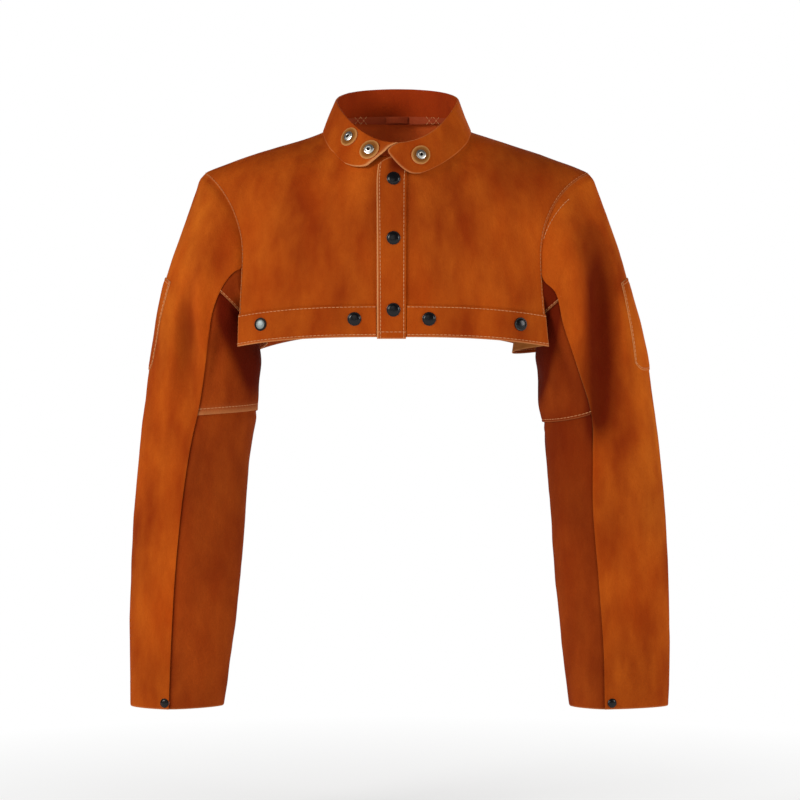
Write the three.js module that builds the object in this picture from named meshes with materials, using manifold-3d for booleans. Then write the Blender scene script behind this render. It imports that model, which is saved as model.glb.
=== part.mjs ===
// A cropped welding jacket in split leather, with the form it has when worn: chest fronts, back,
// underarm side walls, stand collar, placket, hem bands, two-part sleeves, arm pockets and snaps.
// Millimetres. X to the wearer's left, Y to the back, Z up, origin in the middle of the neck.
import * as THREE from 'three';
import { mergeVertices } from 'three/addons/utils/BufferGeometryUtils.js';
import Module from 'manifold-3d';

const wasm = await Module();
wasm.setup();

// Leather and seams
const LEATHER = 1.6; // one layer of split leather
const DOUBLE = 2.4; // a folded strip
const SEAM = 0.5; // between two edges sewn together
const LAP = 0.4; // between two layers
const TAPE = 1.0;

// Shoulder line, from the neck to the tip above the armhole
const NECK_HALF = 86.5;
const SHOULDER_NECK_Z = 9.5;
const SHOULDER_SLOPE = 0.31;
const SHOULDER_TIP_X = 221;
const NECK_RISE = 49; // the shoulder sweeps up towards the neck inside NECK_RISE_X
const NECK_RISE_X = 110;
const SOFT_X = 60; // inside this the slope eases off to the middle
const TIP_ROUND = 0.0008; // and rounds down outside TIP_ROUND_X
const TIP_ROUND_X = 155;
const RIDGE_Y = 4; // the shoulder seam lies a little behind the middle
const NECK_CURVE = 1.2;
const NECK_SHARE = 0.42; // share of a half panel's top edge that is neckline
const NECK_START = 0.07; // first column beside the middle

// Armhole and side edges of the panels, as seen from the front
const CHEST_HALF = 176.5;
const ARMHOLE_DROP = 106;
const HEM_FLARE = 5;

// Depth of the body: side is -1 for the front and 1 for the back
const FRONT = {
  side: -1, centre: 118, edge: 78, reach: 240, bend: 2.8, neckZ: -29, hemMid: -239.5, hemSide: -249.5,
};
const BACK = {
  side: 1, centre: 102, edge: 76, reach: 160, bend: 2.6, neckZ: 32, hemMid: -230, hemSide: -254,
};
const HEM_CURVE = 3;

// The front hangs a little to the wearer's right, and the arms a little to the left
const SWAY = { shift: -6, fromZ: 0, toZ: -60, fromY: 15, toY: -60, fromX: 195, toX: 265 };
const ARM_SWAY = { shift: 3, fromZ: -190, toZ: -290, fromX: 150, toX: 190 };

// Placket over the meeting of the fronts, and the hem bands
const FRONT_EDGE = 9; // edge of the under front, hidden by the placket
const PLACKET = { free: -17, sewn: 16.5, below: 2, corner: 11 };
const BAND_HEIGHT = 37;

// Side walls: where they tuck in behind the panels, how far their hem draws in and drops, and how
// far they start above and stay clear of the bottom of the armhole
const SIDE_WALL = {
  tuck: 0.975, pinchHem: { left: 36, right: 19 }, dropHem: { left: 5, right: -8 }, above: 0.02,
  clear: 2.2,
};

// Collar: it stands on a base round the neckline and leans in to its rim
const COLLAR_HALF = 88;
const COLLAR_FRONT_Z = -55;
const COLLAR_BACK_Z = 28;
const COLLAR_LIFT = { side: 2.7, middle: 0.8 }; // base above the panels
const COLLAR_STAND_OFF = { front: 7.5, back: 5 }; // and outside them
const RIM = {
  half: 73, sideY: -5, sideZ: 47, frontY: -97, frontZ: -13, backY: 72, backZ: 70, curve: 1.5, backCurve: 0.9,
};
// Where the two collar ends stop, by height from base (0) to rim (1): x of the left and right end
const COLLAR_ENDS = [
  { height: 0.0, left: 33, right: -57 },
  { height: 0.06, left: 22, right: -45 },
  { height: 0.2, left: 14, right: -31.5 },
  { height: 0.4, left: 4.8, right: -24.5 },
  { height: 0.57, left: -2.3, right: -18.5 },
  { height: 0.75, left: -9.6, right: -11.4 },
  { height: 0.89, left: -5.7, right: -7.5 },
  { height: 1.0, left: 3.4, right: 1.6 },
];
const COLLAR_SKEW = 0.2; // share of the collar's length that leans with each end

// Tape inside the back neckline and its loop: half angle, reach below and above the edge, how much
// less it reaches at its ends, how far it lies inside the edge, and how far it bows
const NECK_TAPE = { turn: 0.85, below: 6, above: 4, taper: 0.8, inside: 3.8, bow: 0 };
const HANGER = { turn: 0.17, below: 5, above: 3, taper: 0, inside: 5.8, bow: 6 };

// Sleeve sections from the armhole to the cuff. outer and inner are the ends of the section in
// front view, midY its middle, front and back its depths, bow how far its front and back curve in
// towards the neck, crease how sharp its front seam is, and seamL and seamR where the front seam
// of the left and right sleeve lies between the outer (0) and the inner end (1).
const ARM_COLUMNS = [
  'outerX', 'outerZ', 'innerX', 'innerZ', 'midY',
  'front', 'back', 'bow', 'crease', 'seamL', 'seamR',
];
const ARM = [
  [222, -37, 160, -216, 3, 66, 66, 14, 0.0, 0.6, 0.6],
  [238.5, -56, 164, -222, 3, 72, 70, 10, 0.0, 0.68, 0.61],
  [258, -109, 166, -232, 2, 75, 72, 5, 0.05, 0.75, 0.6],
  [274, -158, 166, -246, 1, 74, 72, 0, 0.1, 0.755, 0.583],
  [287, -207, 165.5, -264, 0, 71, 70, 0, 0.15, 0.715, 0.57],
  [298, -262, 166, -290, -1, 66, 67, 0, 0.2, 0.655, 0.555],
  [305.5, -320, 168.5, -322, -3, 62, 64, 0, 0.25, 0.59, 0.53],
  [311.5, -372, 176.5, -373, -7, 59, 60, 0, 0.3, 0.605, 0.49],
  [317, -440, 182, -440, -13, 56, 55, 0, 0.35, 0.645, 0.455],
  [320.5, -520, 187.5, -520, -19, 52, 50, 0, 0.35, 0.64, 0.43],
  [321, -605, 196.5, -605, -25, 48, 46, 0, 0.35, 0.645, 0.427],
  [319.5, -674.5, 205.5, -674.5, -29, 45, 43, 0, 0.3, 0.68, 0.432],
].map((row) => Object.fromEntries(row.map((value, i) => [ARM_COLUMNS[i], value])));
const CUFF = ARM.length - 1; // station of the cuff
const GUSSET_END = 2; // station of the seam below the underarm gusset
const ELBOW_SEAM = 6; // station of the seam across the under sleeve
// How far below their station those two seams lie, at the lengthwise seams and inside the arm
const SEAM_LEAN = {
  gusset: { left: { edge: 0.28, inside: -0.25 }, right: { edge: 0.28, inside: -0.25 } },
  elbow: { left: { edge: 0.13, inside: 0.3 }, right: { edge: 0.03, inside: -0.13 } },
};
const BACK_SEAM = 0.55;
const QUARTERS = 4; // parts of the way round a sleeve
const ARMHOLE_FADE = 2.2; // stations over which the sleeve leaves the armhole's shape
const RIM_SHARE = 0.72; // share of the armhole, from its top, that follows the panel
const RIM_LOW = 0.66; // and how far down the panel's edge that share reaches

// Folds of the sleeves: each runs from one place to another, given as station and turn round the
// sleeve (0 front seam, 0.25 outside, 0.5 back seam, 0.75 inside), with its half width and depth
const FOLDS = [
  { arm: 'left', fromT: 0.6, fromTurn: 0.136, toT: 6.7, toTurn: -0.012, half: 18, depth: -14 },
  { arm: 'left', fromT: 0.6, fromTurn: 0.085, toT: 4.8, toTurn: -0.03, half: 12, depth: 6 },
  { arm: 'left', fromT: 3.0, fromTurn: 0.94, toT: 6.8, toTurn: 0.97, half: 13, depth: -7 },
  { arm: 'left', fromT: 4.4, fromTurn: 0.56, toT: 7.2, toTurn: 0.82, half: 18, depth: -8 },
  { arm: 'right', fromT: 0.6, fromTurn: 0.1, toT: 6.4, toTurn: 0.0, half: 12, depth: 6 },
  { arm: 'right', fromT: 2.2, fromTurn: 0.095, toT: 6.4, toTurn: 0.046, half: 13, depth: -9 },
  { arm: 'right', fromT: 2.2, fromTurn: 0.95, toT: 6.2, toTurn: 0.98, half: 13, depth: -7 },
  { arm: 'right', fromT: 4.6, fromTurn: 0.52, toT: 6.6, toTurn: 0.68, half: 16, depth: -6 },
];
const FOLD_TURN = 410; // typical way round the sleeve
const FOLD_STATION = 58; // typical distance between stations

// Pockets on the outside of the upper sleeves
const POCKET = {
  front: 0.165, back: 0.315, top: 3.15, bottom: 5.24, corner: 0.2, round: 6, gape: 1.0, mouth: 0.3,
};

// Layers of leather that a snap clamps, outermost first
const LAYERS = {
  placket: ['front_placket', 'front_panel_right'],
  left_band: ['hem_band_left', 'front_panel_left'],
  right_band: ['hem_band_right', 'front_panel_right'],
  left_cuff: ['sleeve_outer_left'],
  right_cuff: ['sleeve_outer_right'],
  collar: ['collar'],
};

// Snaps. Those on the fronts are placed by x and z, those on a cuff by station and turn, those on
// the collar by angle from the front (degrees) and height
const SNAPS = [
  { name: 'placket_snap_1', on: 'placket', x: 2, z: -56, kind: 'cap' },
  { name: 'placket_snap_2', on: 'placket', x: 2, z: -125, kind: 'cap' },
  { name: 'placket_snap_3', on: 'placket', x: 2, z: -208, kind: 'cap' },
  { name: 'hem_snap_left_1', on: 'left_band', x: 43, z: -218.5, kind: 'cap' },
  { name: 'hem_snap_left_2', on: 'left_band', x: 149, z: -224, kind: 'cap' },
  { name: 'hem_snap_right_1', on: 'right_band', x: -43, z: -218.5, kind: 'cap' },
  { name: 'hem_snap_right_2', on: 'right_band', x: -152, z: -224, kind: 'bright' },
  { name: 'cuff_snap_left', on: 'left_cuff', station: 10.89, turn: 0.016, kind: 'small' },
  { name: 'cuff_snap_right', on: 'right_cuff', station: 10.89, turn: 0.016, kind: 'small' },
  { name: 'collar_snap_1', on: 'collar', angle: -45, height: 0.64, kind: 'socket' },
  { name: 'collar_snap_2', on: 'collar', angle: -22.5, height: 0.64, kind: 'socket' },
  { name: 'collar_snap_3', on: 'collar', angle: 22, height: 0.5, kind: 'socket' },
];
const SNAP_KINDS = {
  cap: { radius: 7.9, height: 2.8 },
  bright: { radius: 7.9, height: 2.3 },
  small: { radius: 5.4, height: 2.2 },
  socket: { radius: 5.9, height: 1.9 },
};
// Outer profile of a snap's head: shares of its radius and of its height
const DOME = [[1, 0.35], [0.72, 0.85], [0, 1]];
const DISH = [[0.96, 0.6], [0.72, 1], [0.48, 0.75], [0.44, 0.3], [0, 0.3]];
const POST_RADIUS = 2.3;
const HOLE_RADIUS = 3.0;
const SNAP_BACK = { radius: 5.2, thick: 1.2 };
const SNAP_SIDES = 10;
const HOLE_SIDES = 8;
const HOLE_LENGTH = 16;
const SNAP_CLEAR = 0.8; // a flat snap on curved leather
const WASHER = { radius: 11.5, sides: 16 };

// Rows and columns of each curved wall
const GRID = {
  panel: { neck: 4, shoulder: 6, down: 11 },
  side: { round: 8, down: 2 },
  placket: { across: 4, down: 9 },
  band: { across: 8, down: 2 },
  sleeve: { outer: 10, under: 8, gusset: 4, upper: 9, fore: 9 },
  pocket: { across: 6, down: 7 },
  collar: 36,
  strip: 12,
};

// Finishes
const suede = (color) => new THREE.MeshStandardMaterial({ color, roughness: 0.95, metalness: 0 });
const RUST = 0xa5460f;
const DARK_RUST = 0x7a2a0a;
const TAN = 0xb9702f;
const BLACK_METAL = new THREE.MeshStandardMaterial({ color: 0x141212, roughness: 0.35, metalness: 0.6 });
const BRIGHT_METAL = new THREE.MeshStandardMaterial({ color: 0xc9c7c2, roughness: 0.3, metalness: 1 });

const jacket = new THREE.Group();
const mix = THREE.MathUtils.lerp;
const square = (value) => value * value;
const smooth = (from, to, value) => THREE.MathUtils.smoothstep((value - from) / (to - from), 0, 1);
const steps = (count, from = 0, to = 1) =>
  Array.from({ length: count + 1 }, (_, i) => mix(from, to, i / count));

// Surfaces of the body

function shoulderZ(x) {
  const sweep = NECK_RISE * Math.pow(Math.max(0, 1 - square(x / NECK_RISE_X)), 4);
  const round = TIP_ROUND * square(Math.max(0, x - TIP_ROUND_X));
  const out = x > SOFT_X ? x : (square(x) / SOFT_X + SOFT_X) / 2;
  return SHOULDER_NECK_Z - SHOULDER_SLOPE * (out - NECK_HALF) + sweep - round;
}

const TIP_Z = shoulderZ(SHOULDER_TIP_X);

function armholeX(z) {
  const down = (TIP_Z - z) / ARMHOLE_DROP;
  const flare = HEM_FLARE * Math.pow(Math.max(0, down - 1), 1.5);
  return CHEST_HALF + (SHOULDER_TIP_X - CHEST_HALF) * square(Math.max(0, 1 - down)) + flare;
}

function neckZ(half, turn) {
  const sideZ = shoulderZ(NECK_HALF);
  return mix(sideZ, half.neckZ, Math.pow(Math.max(0, Math.cos(turn)), NECK_CURVE));
}

function hemZ(half, x) {
  return mix(half.hemMid, half.hemSide, Math.pow(Math.abs(x) / armholeX(half.hemSide), HEM_CURVE));
}

// A quarter of an ellipse: 0 on the shoulder seam, 1 at the full depth of the body
const rise = (t) => Math.sqrt(1 - square(1 - THREE.MathUtils.clamp(t, 0, 1)));

function onBody(half, x, z) {
  const across = Math.min(1, Math.abs(x) / armholeX(z));
  const full = mix(half.centre, half.edge, Math.pow(across, half.bend));
  const depth = rise((shoulderZ(Math.abs(x)) - z) / half.reach) * full;
  return new THREE.Vector3(x, RIDGE_Y + half.side * (SEAM / 2 + depth), z);
}

// One half of the front or back: u runs from the middle edge to the armhole, w from top to hem
function halfSheet(half, middleX) {
  const lean = Math.asin(middleX / NECK_HALF);
  const hemHalf = armholeX(half.hemSide);
  const top = (u) => {
    if (u < NECK_SHARE) {
      const turn = mix(lean, Math.PI / 2, u / NECK_SHARE);
      return new THREE.Vector2(NECK_HALF * Math.sin(turn), neckZ(half, turn));
    }
    const x = mix(NECK_HALF, SHOULDER_TIP_X, (u - NECK_SHARE) / (1 - NECK_SHARE));
    return new THREE.Vector2(x, shoulderZ(x));
  };
  const hem = (u) => {
    const x = mix(middleX, hemHalf, u);
    return new THREE.Vector2(x, hemZ(half, x));
  };
  const middle = (w) => new THREE.Vector2(middleX, mix(top(0).y, hem(0).y, w));
  const armhole = (w) => {
    const z = mix(TIP_Z, half.hemSide, w);
    return new THREE.Vector2(armholeX(z), z);
  };
  return (u, w) => {
    const rows = top(u).lerp(hem(u), w);
    const columns = middle(w).lerp(armhole(w), u);
    const corners = top(0).lerp(top(1), u).lerp(hem(0).lerp(hem(1), u), w);
    const place = rows.add(columns).sub(corners);
    return onBody(half, place.x, place.y);
  };
}

const flip = (point, sign) => new THREE.Vector3(point.x * sign, point.y, point.z);

// The jacket hangs off centre: a smooth shift that every piece shares
function hang(point) {
  const low = smooth(SWAY.fromZ, SWAY.toZ, point.z);
  const ahead = smooth(SWAY.fromY, SWAY.toY, point.y);
  const near = 1 - smooth(SWAY.fromX, SWAY.toX, Math.abs(point.x));
  const armLow = smooth(ARM_SWAY.fromZ, ARM_SWAY.toZ, point.z);
  const armSide = smooth(ARM_SWAY.fromX, ARM_SWAY.toX, Math.abs(point.x));
  const shift = SWAY.shift * low * ahead * near + ARM_SWAY.shift * armLow * armSide;
  return new THREE.Vector3(point.x + shift, point.y, point.z);
}

// Solids from surfaces

const NUDGE = 0.004;

function normalAt(surface, u, v, facing) {
  const along = surface(u + NUDGE, v).sub(surface(u - NUDGE, v));
  const down = surface(u, v + NUDGE).sub(surface(u, v - NUDGE));
  return along.cross(down).normalize().multiplyScalar(facing);
}

// Sign that makes a surface's normal look the given way at one place
function facingSign(surface, u, v, look) {
  return normalAt(surface, u, v, 1).dot(look) > 0 ? 1 : -1;
}

// A wall between two offsets of a surface; ring closes it in u
function wall(surface, us, vs, facing, low, high, ring = false) {
  const points = [];
  const offset = (value, u, v) => (typeof value === 'function' ? value(u, v) : value);
  for (const side of [high, low])
    for (const v of vs)
      for (const u of us) {
        const normal = normalAt(surface, u, v, facing);
        const point = surface(u, v).addScaledVector(normal, offset(side, u, v));
        points.push(...hang(point).toArray());
      }
  const columns = us.length;
  const layer = columns * vs.length;
  const id = (side, i, j) => side * layer + j * columns + (i % columns);
  const faces = [];
  const quad = (a, b, c, d) => {
    const order = facing > 0 ? [a, b, c, a, c, d] : [a, c, b, a, d, c];
    faces.push(...order);
  };
  const across = ring ? columns : columns - 1;
  const down = vs.length - 1;
  for (let j = 0; j < down; j++)
    for (let i = 0; i < across; i++) {
      quad(id(0, i, j), id(0, i + 1, j), id(0, i + 1, j + 1), id(0, i, j + 1));
      quad(id(1, i, j), id(1, i, j + 1), id(1, i + 1, j + 1), id(1, i + 1, j));
    }
  for (let i = 0; i < across; i++) {
    quad(id(0, i, 0), id(1, i, 0), id(1, i + 1, 0), id(0, i + 1, 0));
    quad(id(0, i, down), id(0, i + 1, down), id(1, i + 1, down), id(1, i, down));
  }
  if (!ring)
    for (let j = 0; j < down; j++) {
      quad(id(0, 0, j), id(0, 0, j + 1), id(1, 0, j + 1), id(1, 0, j));
      quad(id(0, across, j), id(1, across, j), id(1, across, j + 1), id(0, across, j + 1));
    }
  const geometry = new THREE.BufferGeometry();
  geometry.setAttribute('position', new THREE.Float32BufferAttribute(points, 3));
  geometry.setIndex(faces);
  return geometry;
}

function solidOf(geometry) {
  return new wasm.Manifold(new wasm.Mesh({
    numProp: 3,
    vertProperties: new Float32Array(geometry.attributes.position.array),
    triVerts: new Uint32Array(geometry.index.array),
  }));
}

function geometryOf(solid) {
  const mesh = solid.getMesh();
  const geometry = new THREE.BufferGeometry();
  geometry.setAttribute('position', new THREE.BufferAttribute(mesh.vertProperties, 3));
  geometry.setIndex(new THREE.BufferAttribute(mesh.triVerts, 1));
  return geometry;
}

const MERGE = 1e-4; // vertices closer than this are one

function bare(geometry) {
  geometry.deleteAttribute('normal');
  geometry.deleteAttribute('uv');
  return mergeVertices(geometry, MERGE);
}

// Sleeves

// A value of the section table between stations, on a smooth curve through its rows
function section(station, column) {
  const row = THREE.MathUtils.clamp(Math.floor(station), 0, CUFF - 1);
  const pick = (i) => {
    if (i < 0) return 2 * ARM[0][column] - ARM[1][column];
    if (i > CUFF) return 2 * ARM[CUFF][column] - ARM[CUFF - 1][column];
    return ARM[i][column];
  };
  const t = station - row;
  const [before, from, to, after] = [row - 1, row, row + 1, row + 2].map(pick);
  const start = (to - before) / 2;
  const end = (after - from) / 2;
  return from + start * t + (3 * (to - from) - 2 * start - end) * t * t
    + (2 * (from - to) + start + end) * t * t * t;
}

// Quarter of the section that a turn lies in: share is the place between outer and inner end,
// depth the share of the full depth, half the side of the body
function turnOnSection(arm, station, turn) {
  const wrapped = turn - Math.floor(turn);
  const quarter = Math.min(QUARTERS - 1, Math.floor(wrapped * QUARTERS));
  const local = wrapped * QUARTERS - quarter;
  const away = quarter % 2 === 0 ? local : 1 - local;
  const angle = away * Math.PI / 2;
  const half = quarter === 0 || quarter === 3 ? FRONT : BACK;
  const seam = half === FRONT ? section(station, arm === 'left' ? 'seamL' : 'seamR') : BACK_SEAM;
  const crease = half === FRONT ? section(station, 'crease') : 0;
  const outside = quarter < 2;
  const share = outside ? seam * (1 - Math.sin(angle)) : seam + (1 - seam) * Math.sin(angle);
  const depth = mix(Math.cos(angle), 1 - Math.sin(angle), crease);
  return { half, share, depth };
}

function sectionPoint(station, { half, share, depth }) {
  const outer = new THREE.Vector2(section(station, 'outerX'), section(station, 'outerZ'));
  const inner = new THREE.Vector2(section(station, 'innerX'), section(station, 'innerZ'));
  const line = outer.clone().sub(inner).normalize();
  const flat = outer.lerp(inner, share);
  const bow = section(station, 'bow') * depth;
  const deep = section(station, half === FRONT ? 'front' : 'back') * depth;
  return new THREE.Vector3(
    flat.x - line.y * bow, section(station, 'midY') + half.side * deep, flat.y + line.x * bow);
}

const frontHalf = halfSheet(FRONT, FRONT_EDGE + SEAM);
const backHalf = halfSheet(BACK, 0);
const PANEL_EDGE = { front: frontHalf, back: backHalf };
const panelFacing = (half) => facingSign(PANEL_EDGE[half === FRONT ? 'front' : 'back'], 0.5, 0.5,
  new THREE.Vector3(0, half.side, 0));

// Point behind a panel near its armhole edge, at a depth below the panel's outer face
function behindPanel(half, u, w, depth) {
  const sheet = PANEL_EDGE[half === FRONT ? 'front' : 'back'];
  const inset = Math.min(u, 1 - NUDGE);
  const normal = normalAt(sheet, inset, Math.max(w, NUDGE), panelFacing(half));
  return sheet(u, w).addScaledVector(normal, -depth);
}

// The armhole: it follows the panel's edge from the shoulder down, then turns under the arm
function armholeRim({ half, share }) {
  const under = LEATHER + LAP;
  if (share <= RIM_SHARE) return behindPanel(half, 1, share / RIM_SHARE * RIM_LOW, under);
  const last = behindPanel(half, 1, RIM_LOW, under);
  const q = (share - RIM_SHARE) / (1 - RIM_SHARE);
  const bottom = ARM[0];
  return new THREE.Vector3(
    mix(last.x, bottom.innerX, q),
    mix(bottom.midY, last.y, Math.sqrt(1 - q * q)),
    mix(last.z, bottom.innerZ, q));
}

function foldDepth(arm, station, turn) {
  let depth = 0;
  for (const fold of FOLDS.filter((row) => row.arm === arm)) {
    const from = new THREE.Vector2(fold.fromTurn * FOLD_TURN, fold.fromT * FOLD_STATION);
    const run = new THREE.Vector2(fold.toTurn * FOLD_TURN, fold.toT * FOLD_STATION).sub(from);
    for (const wrap of [-1, 0, 1]) {
      const place = new THREE.Vector2((turn + wrap) * FOLD_TURN, station * FOLD_STATION).sub(from);
      const along = place.dot(run) / run.lengthSq();
      if (along <= 0 || along >= 1) continue;
      const off = Math.abs(place.cross(run)) / run.length();
      depth += fold.depth * square(Math.sin(Math.PI * along)) * Math.exp(-square(off / fold.half));
    }
  }
  return depth;
}

// Sleeve surface on the wearer's left; the right one is mirrored
function sleeveSurface(arm) {
  const sign = arm === 'left' ? 1 : -1;
  return (turn, station) => {
    const t = THREE.MathUtils.clamp(station, 0, CUFF);
    const place = turnOnSection(arm, t, turn);
    const point = sectionPoint(t, place);
    const hold = 1 - smooth(0, ARMHOLE_FADE, t);
    if (hold > 0) {
      const start = turnOnSection(arm, 0, turn);
      point.addScaledVector(armholeRim(start).sub(sectionPoint(0, start)), hold);
    }
    const middle = sectionPoint(t, { half: FRONT, share: 0.5, depth: 0 });
    const outward = point.clone().sub(middle).normalize();
    return flip(point.addScaledVector(outward, foldDepth(arm, t, turn)), sign);
  };
}

// Collar

function collarBase(angle) {
  const ahead = Math.cos(angle);
  const half = ahead > 0 ? FRONT : BACK;
  const x = COLLAR_HALF * Math.sin(angle);
  const lowest = ahead > 0 ? COLLAR_FRONT_Z : COLLAR_BACK_Z;
  const reach = Math.pow(Math.abs(ahead), NECK_CURVE);
  const z = mix(shoulderZ(COLLAR_HALF), lowest, reach);
  const off = (ahead > 0 ? COLLAR_STAND_OFF.front : COLLAR_STAND_OFF.back) * Math.sqrt(reach);
  const point = onBody(half, x, z);
  const lift = mix(COLLAR_LIFT.side, COLLAR_LIFT.middle, reach);
  return point.add(new THREE.Vector3(0, half.side * off, lift));
}

function collarRim(angle) {
  const ahead = Math.cos(angle);
  const reach = Math.pow(Math.abs(ahead), ahead > 0 ? RIM.curve : RIM.backCurve);
  const y = mix(RIM.sideY, ahead > 0 ? RIM.frontY : RIM.backY, Math.abs(ahead));
  const z = mix(RIM.sideZ, ahead > 0 ? RIM.frontZ : RIM.backZ, reach);
  return new THREE.Vector3(RIM.half * Math.sin(angle), y, z);
}

const collarAt = (angle, height) => collarBase(angle).lerp(collarRim(angle), height);

// Place of a collar end at a height, between the rows of the table
function collarEnd(column, height) {
  const rows = COLLAR_ENDS;
  const clamped = THREE.MathUtils.clamp(height, 0, 1);
  const above = Math.max(1, rows.findIndex((row) => row.height >= clamped));
  const [low, high] = [rows[above - 1], rows[above]];
  const x = mix(low[column], high[column], (clamped - low.height) / (high.height - low.height));
  return Math.asin(x / mix(COLLAR_HALF, RIM.half, clamped));
}

// The collar from its left end round the back to its right end, straight but for its two ends
const collarSheet = (along, height) => {
  const middle = mix(collarEnd('left', 1), 2 * Math.PI + collarEnd('right', 1), along);
  const atLeft = collarEnd('left', height) - collarEnd('left', 1);
  const atRight = collarEnd('right', height) - collarEnd('right', 1);
  const left = atLeft * (1 - smooth(0, COLLAR_SKEW, along));
  const right = atRight * smooth(1 - COLLAR_SKEW, 1, along);
  return collarAt(middle + left + right, height);
};

// Snaps

const frontAt = (x, z) => onBody(FRONT, x, z);
const SLEEVES = { left: sleeveSurface('left'), right: sleeveSurface('right') };
const AHEAD = new THREE.Vector3(0, -1, 0);
const BEHIND = new THREE.Vector3(0, 1, 0);
const frontFacing = facingSign(frontAt, 60, -150, AHEAD);
const collarFacing = facingSign(collarAt, Math.PI, 0.5, BEHIND);
const sleeveFacing = {
  left: facingSign(SLEEVES.left, 0.25, 8, new THREE.Vector3(1, 0, 0)),
  right: facingSign(SLEEVES.right, 0.25, 8, new THREE.Vector3(-1, 0, 0)),
};

// Where a snap sits: the point on the base surface, the way out of it, and the offsets of the
// outermost and innermost face that it clamps
function snapSeat(snap) {
  if (snap.on === 'collar') {
    const angle = THREE.MathUtils.degToRad(snap.angle);
    const normal = normalAt(collarAt, angle, snap.height, collarFacing);
    return { point: collarAt(angle, snap.height), normal, high: 2 * LAP + LEATHER, low: -DOUBLE };
  }
  if (snap.station) {
    const arm = snap.on === 'left_cuff' ? 'left' : 'right';
    const normal = normalAt(SLEEVES[arm], snap.turn, snap.station, sleeveFacing[arm]);
    return { point: SLEEVES[arm](snap.turn, snap.station), normal, high: 0, low: -LEATHER };
  }
  const outer = snap.on === 'placket' ? DOUBLE : LEATHER;
  const normal = normalAt(frontAt, snap.x, snap.z, frontFacing);
  return { point: frontAt(snap.x, snap.z), normal, high: LAP + outer, low: -LEATHER };
}

const UP = new THREE.Vector3(0, 1, 0);

function placeOn(object, seat) {
  object.position.copy(hang(seat.point));
  object.quaternion.setFromUnitVectors(UP, seat.normal);
  return object;
}

// Cuts the post holes of every snap that passes through a layer
function pierced(name, geometry) {
  const crossing = SNAPS.filter((snap) => LAYERS[snap.on].includes(name));
  if (crossing.length === 0) return geometry;
  let solid = solidOf(geometry);
  for (const snap of crossing) {
    const drill = new THREE.CylinderGeometry(HOLE_RADIUS, HOLE_RADIUS, HOLE_LENGTH, HOLE_SIDES);
    const tool = placeOn(new THREE.Object3D(), snapSeat(snap));
    tool.updateMatrix();
    solid = solid.subtract(solidOf(bare(drill).applyMatrix4(tool.matrix)));
  }
  return geometryOf(solid);
}

function add(name, geometry, material) {
  const mesh = new THREE.Mesh(pierced(name, geometry), material);
  mesh.name = name;
  jacket.add(mesh);
  return mesh;
}

const spun = (profile) =>
  bare(new THREE.LatheGeometry(profile.map(([r, y]) => new THREE.Vector2(r, y)), SNAP_SIDES));

function snapProfile(kind, seat) {
  const { radius, height } = SNAP_KINDS[kind];
  const base = seat.high + SNAP_CLEAR;
  const foot = [[0, seat.low], [POST_RADIUS, seat.low], [POST_RADIUS, base], [radius, base]];
  const head = kind === 'socket' ? DISH : DOME;
  return foot.concat(head.map(([across, up]) => [across * radius, base + up * height]));
}

// Fronts, back and side walls

const panelRows = steps(GRID.panel.down).map((t) => 1 - Math.cos(t * Math.PI / 2));
const panelColumns = [
  0, ...steps(GRID.panel.neck, NECK_START, NECK_SHARE), ...steps(GRID.panel.shoulder, NECK_SHARE, 1).slice(1),
];
const SIDES = [{ name: 'left', sign: 1 }, { name: 'right', sign: -1 }];

// Surfaces that end at an edge are only sampled inside it
const within = (surface) => (u, v) =>
  surface(THREE.MathUtils.clamp(u, 0, 1), THREE.MathUtils.clamp(v, 0, 1));

for (const { name, sign } of SIDES) {
  const half = halfSheet(FRONT, sign > 0 ? FRONT_EDGE + SEAM : -FRONT_EDGE);
  const surface = within((u, w) => flip(half(u, w), sign));
  const facing = facingSign(surface, 0.5, 0.5, AHEAD);
  const shell = wall(surface, panelColumns, panelRows, facing, -LEATHER, 0);
  add(`front_panel_${name}`, shell, suede(RUST));
}

const backSurface = (u, w) => {
  const half = backHalf(Math.min(1, Math.abs(u)), THREE.MathUtils.clamp(w, 0, 1));
  return flip(half, Math.sign(u) || 1);
};
const backColumns = [...panelColumns.slice(1).reverse().map((u) => -u), ...panelColumns];
const backFacing = facingSign(backSurface, 0.5, 0.5, BEHIND);
add('back_panel', wall(backSurface, backColumns, panelRows, backFacing, -LEATHER, 0), suede(RUST));

for (const { name, sign } of SIDES) {
  const under = 2 * LEATHER + LAP;
  const surface = within((a, b) => {
    const w = mix(1, RIM_LOW + SIDE_WALL.above, b);
    const front = behindPanel(FRONT, SIDE_WALL.tuck, w, under);
    const back = behindPanel(BACK, SIDE_WALL.tuck, w, under);
    const round = (1 - Math.cos(a * Math.PI)) / 2;
    const tuck = Math.sin(a * Math.PI);
    const point = front.lerp(back, round);
    const pinch = mix(SIDE_WALL.pinchHem[name], point.x - ARM[0].innerX + SIDE_WALL.clear, b);
    const drop = mix(SIDE_WALL.dropHem[name], point.z - ARM[0].innerZ + SIDE_WALL.clear, b);
    return new THREE.Vector3(sign * (point.x - pinch * tuck), point.y, point.z - drop * tuck);
  });
  const facing = facingSign(surface, 0.5, 0.5, new THREE.Vector3(sign, 0, 0));
  const shell = wall(surface, steps(GRID.side.round), steps(GRID.side.down), facing, -LEATHER, 0);
  add(`side_panel_${name}`, shell, suede(DARK_RUST));
}

// Placket and hem bands

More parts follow.
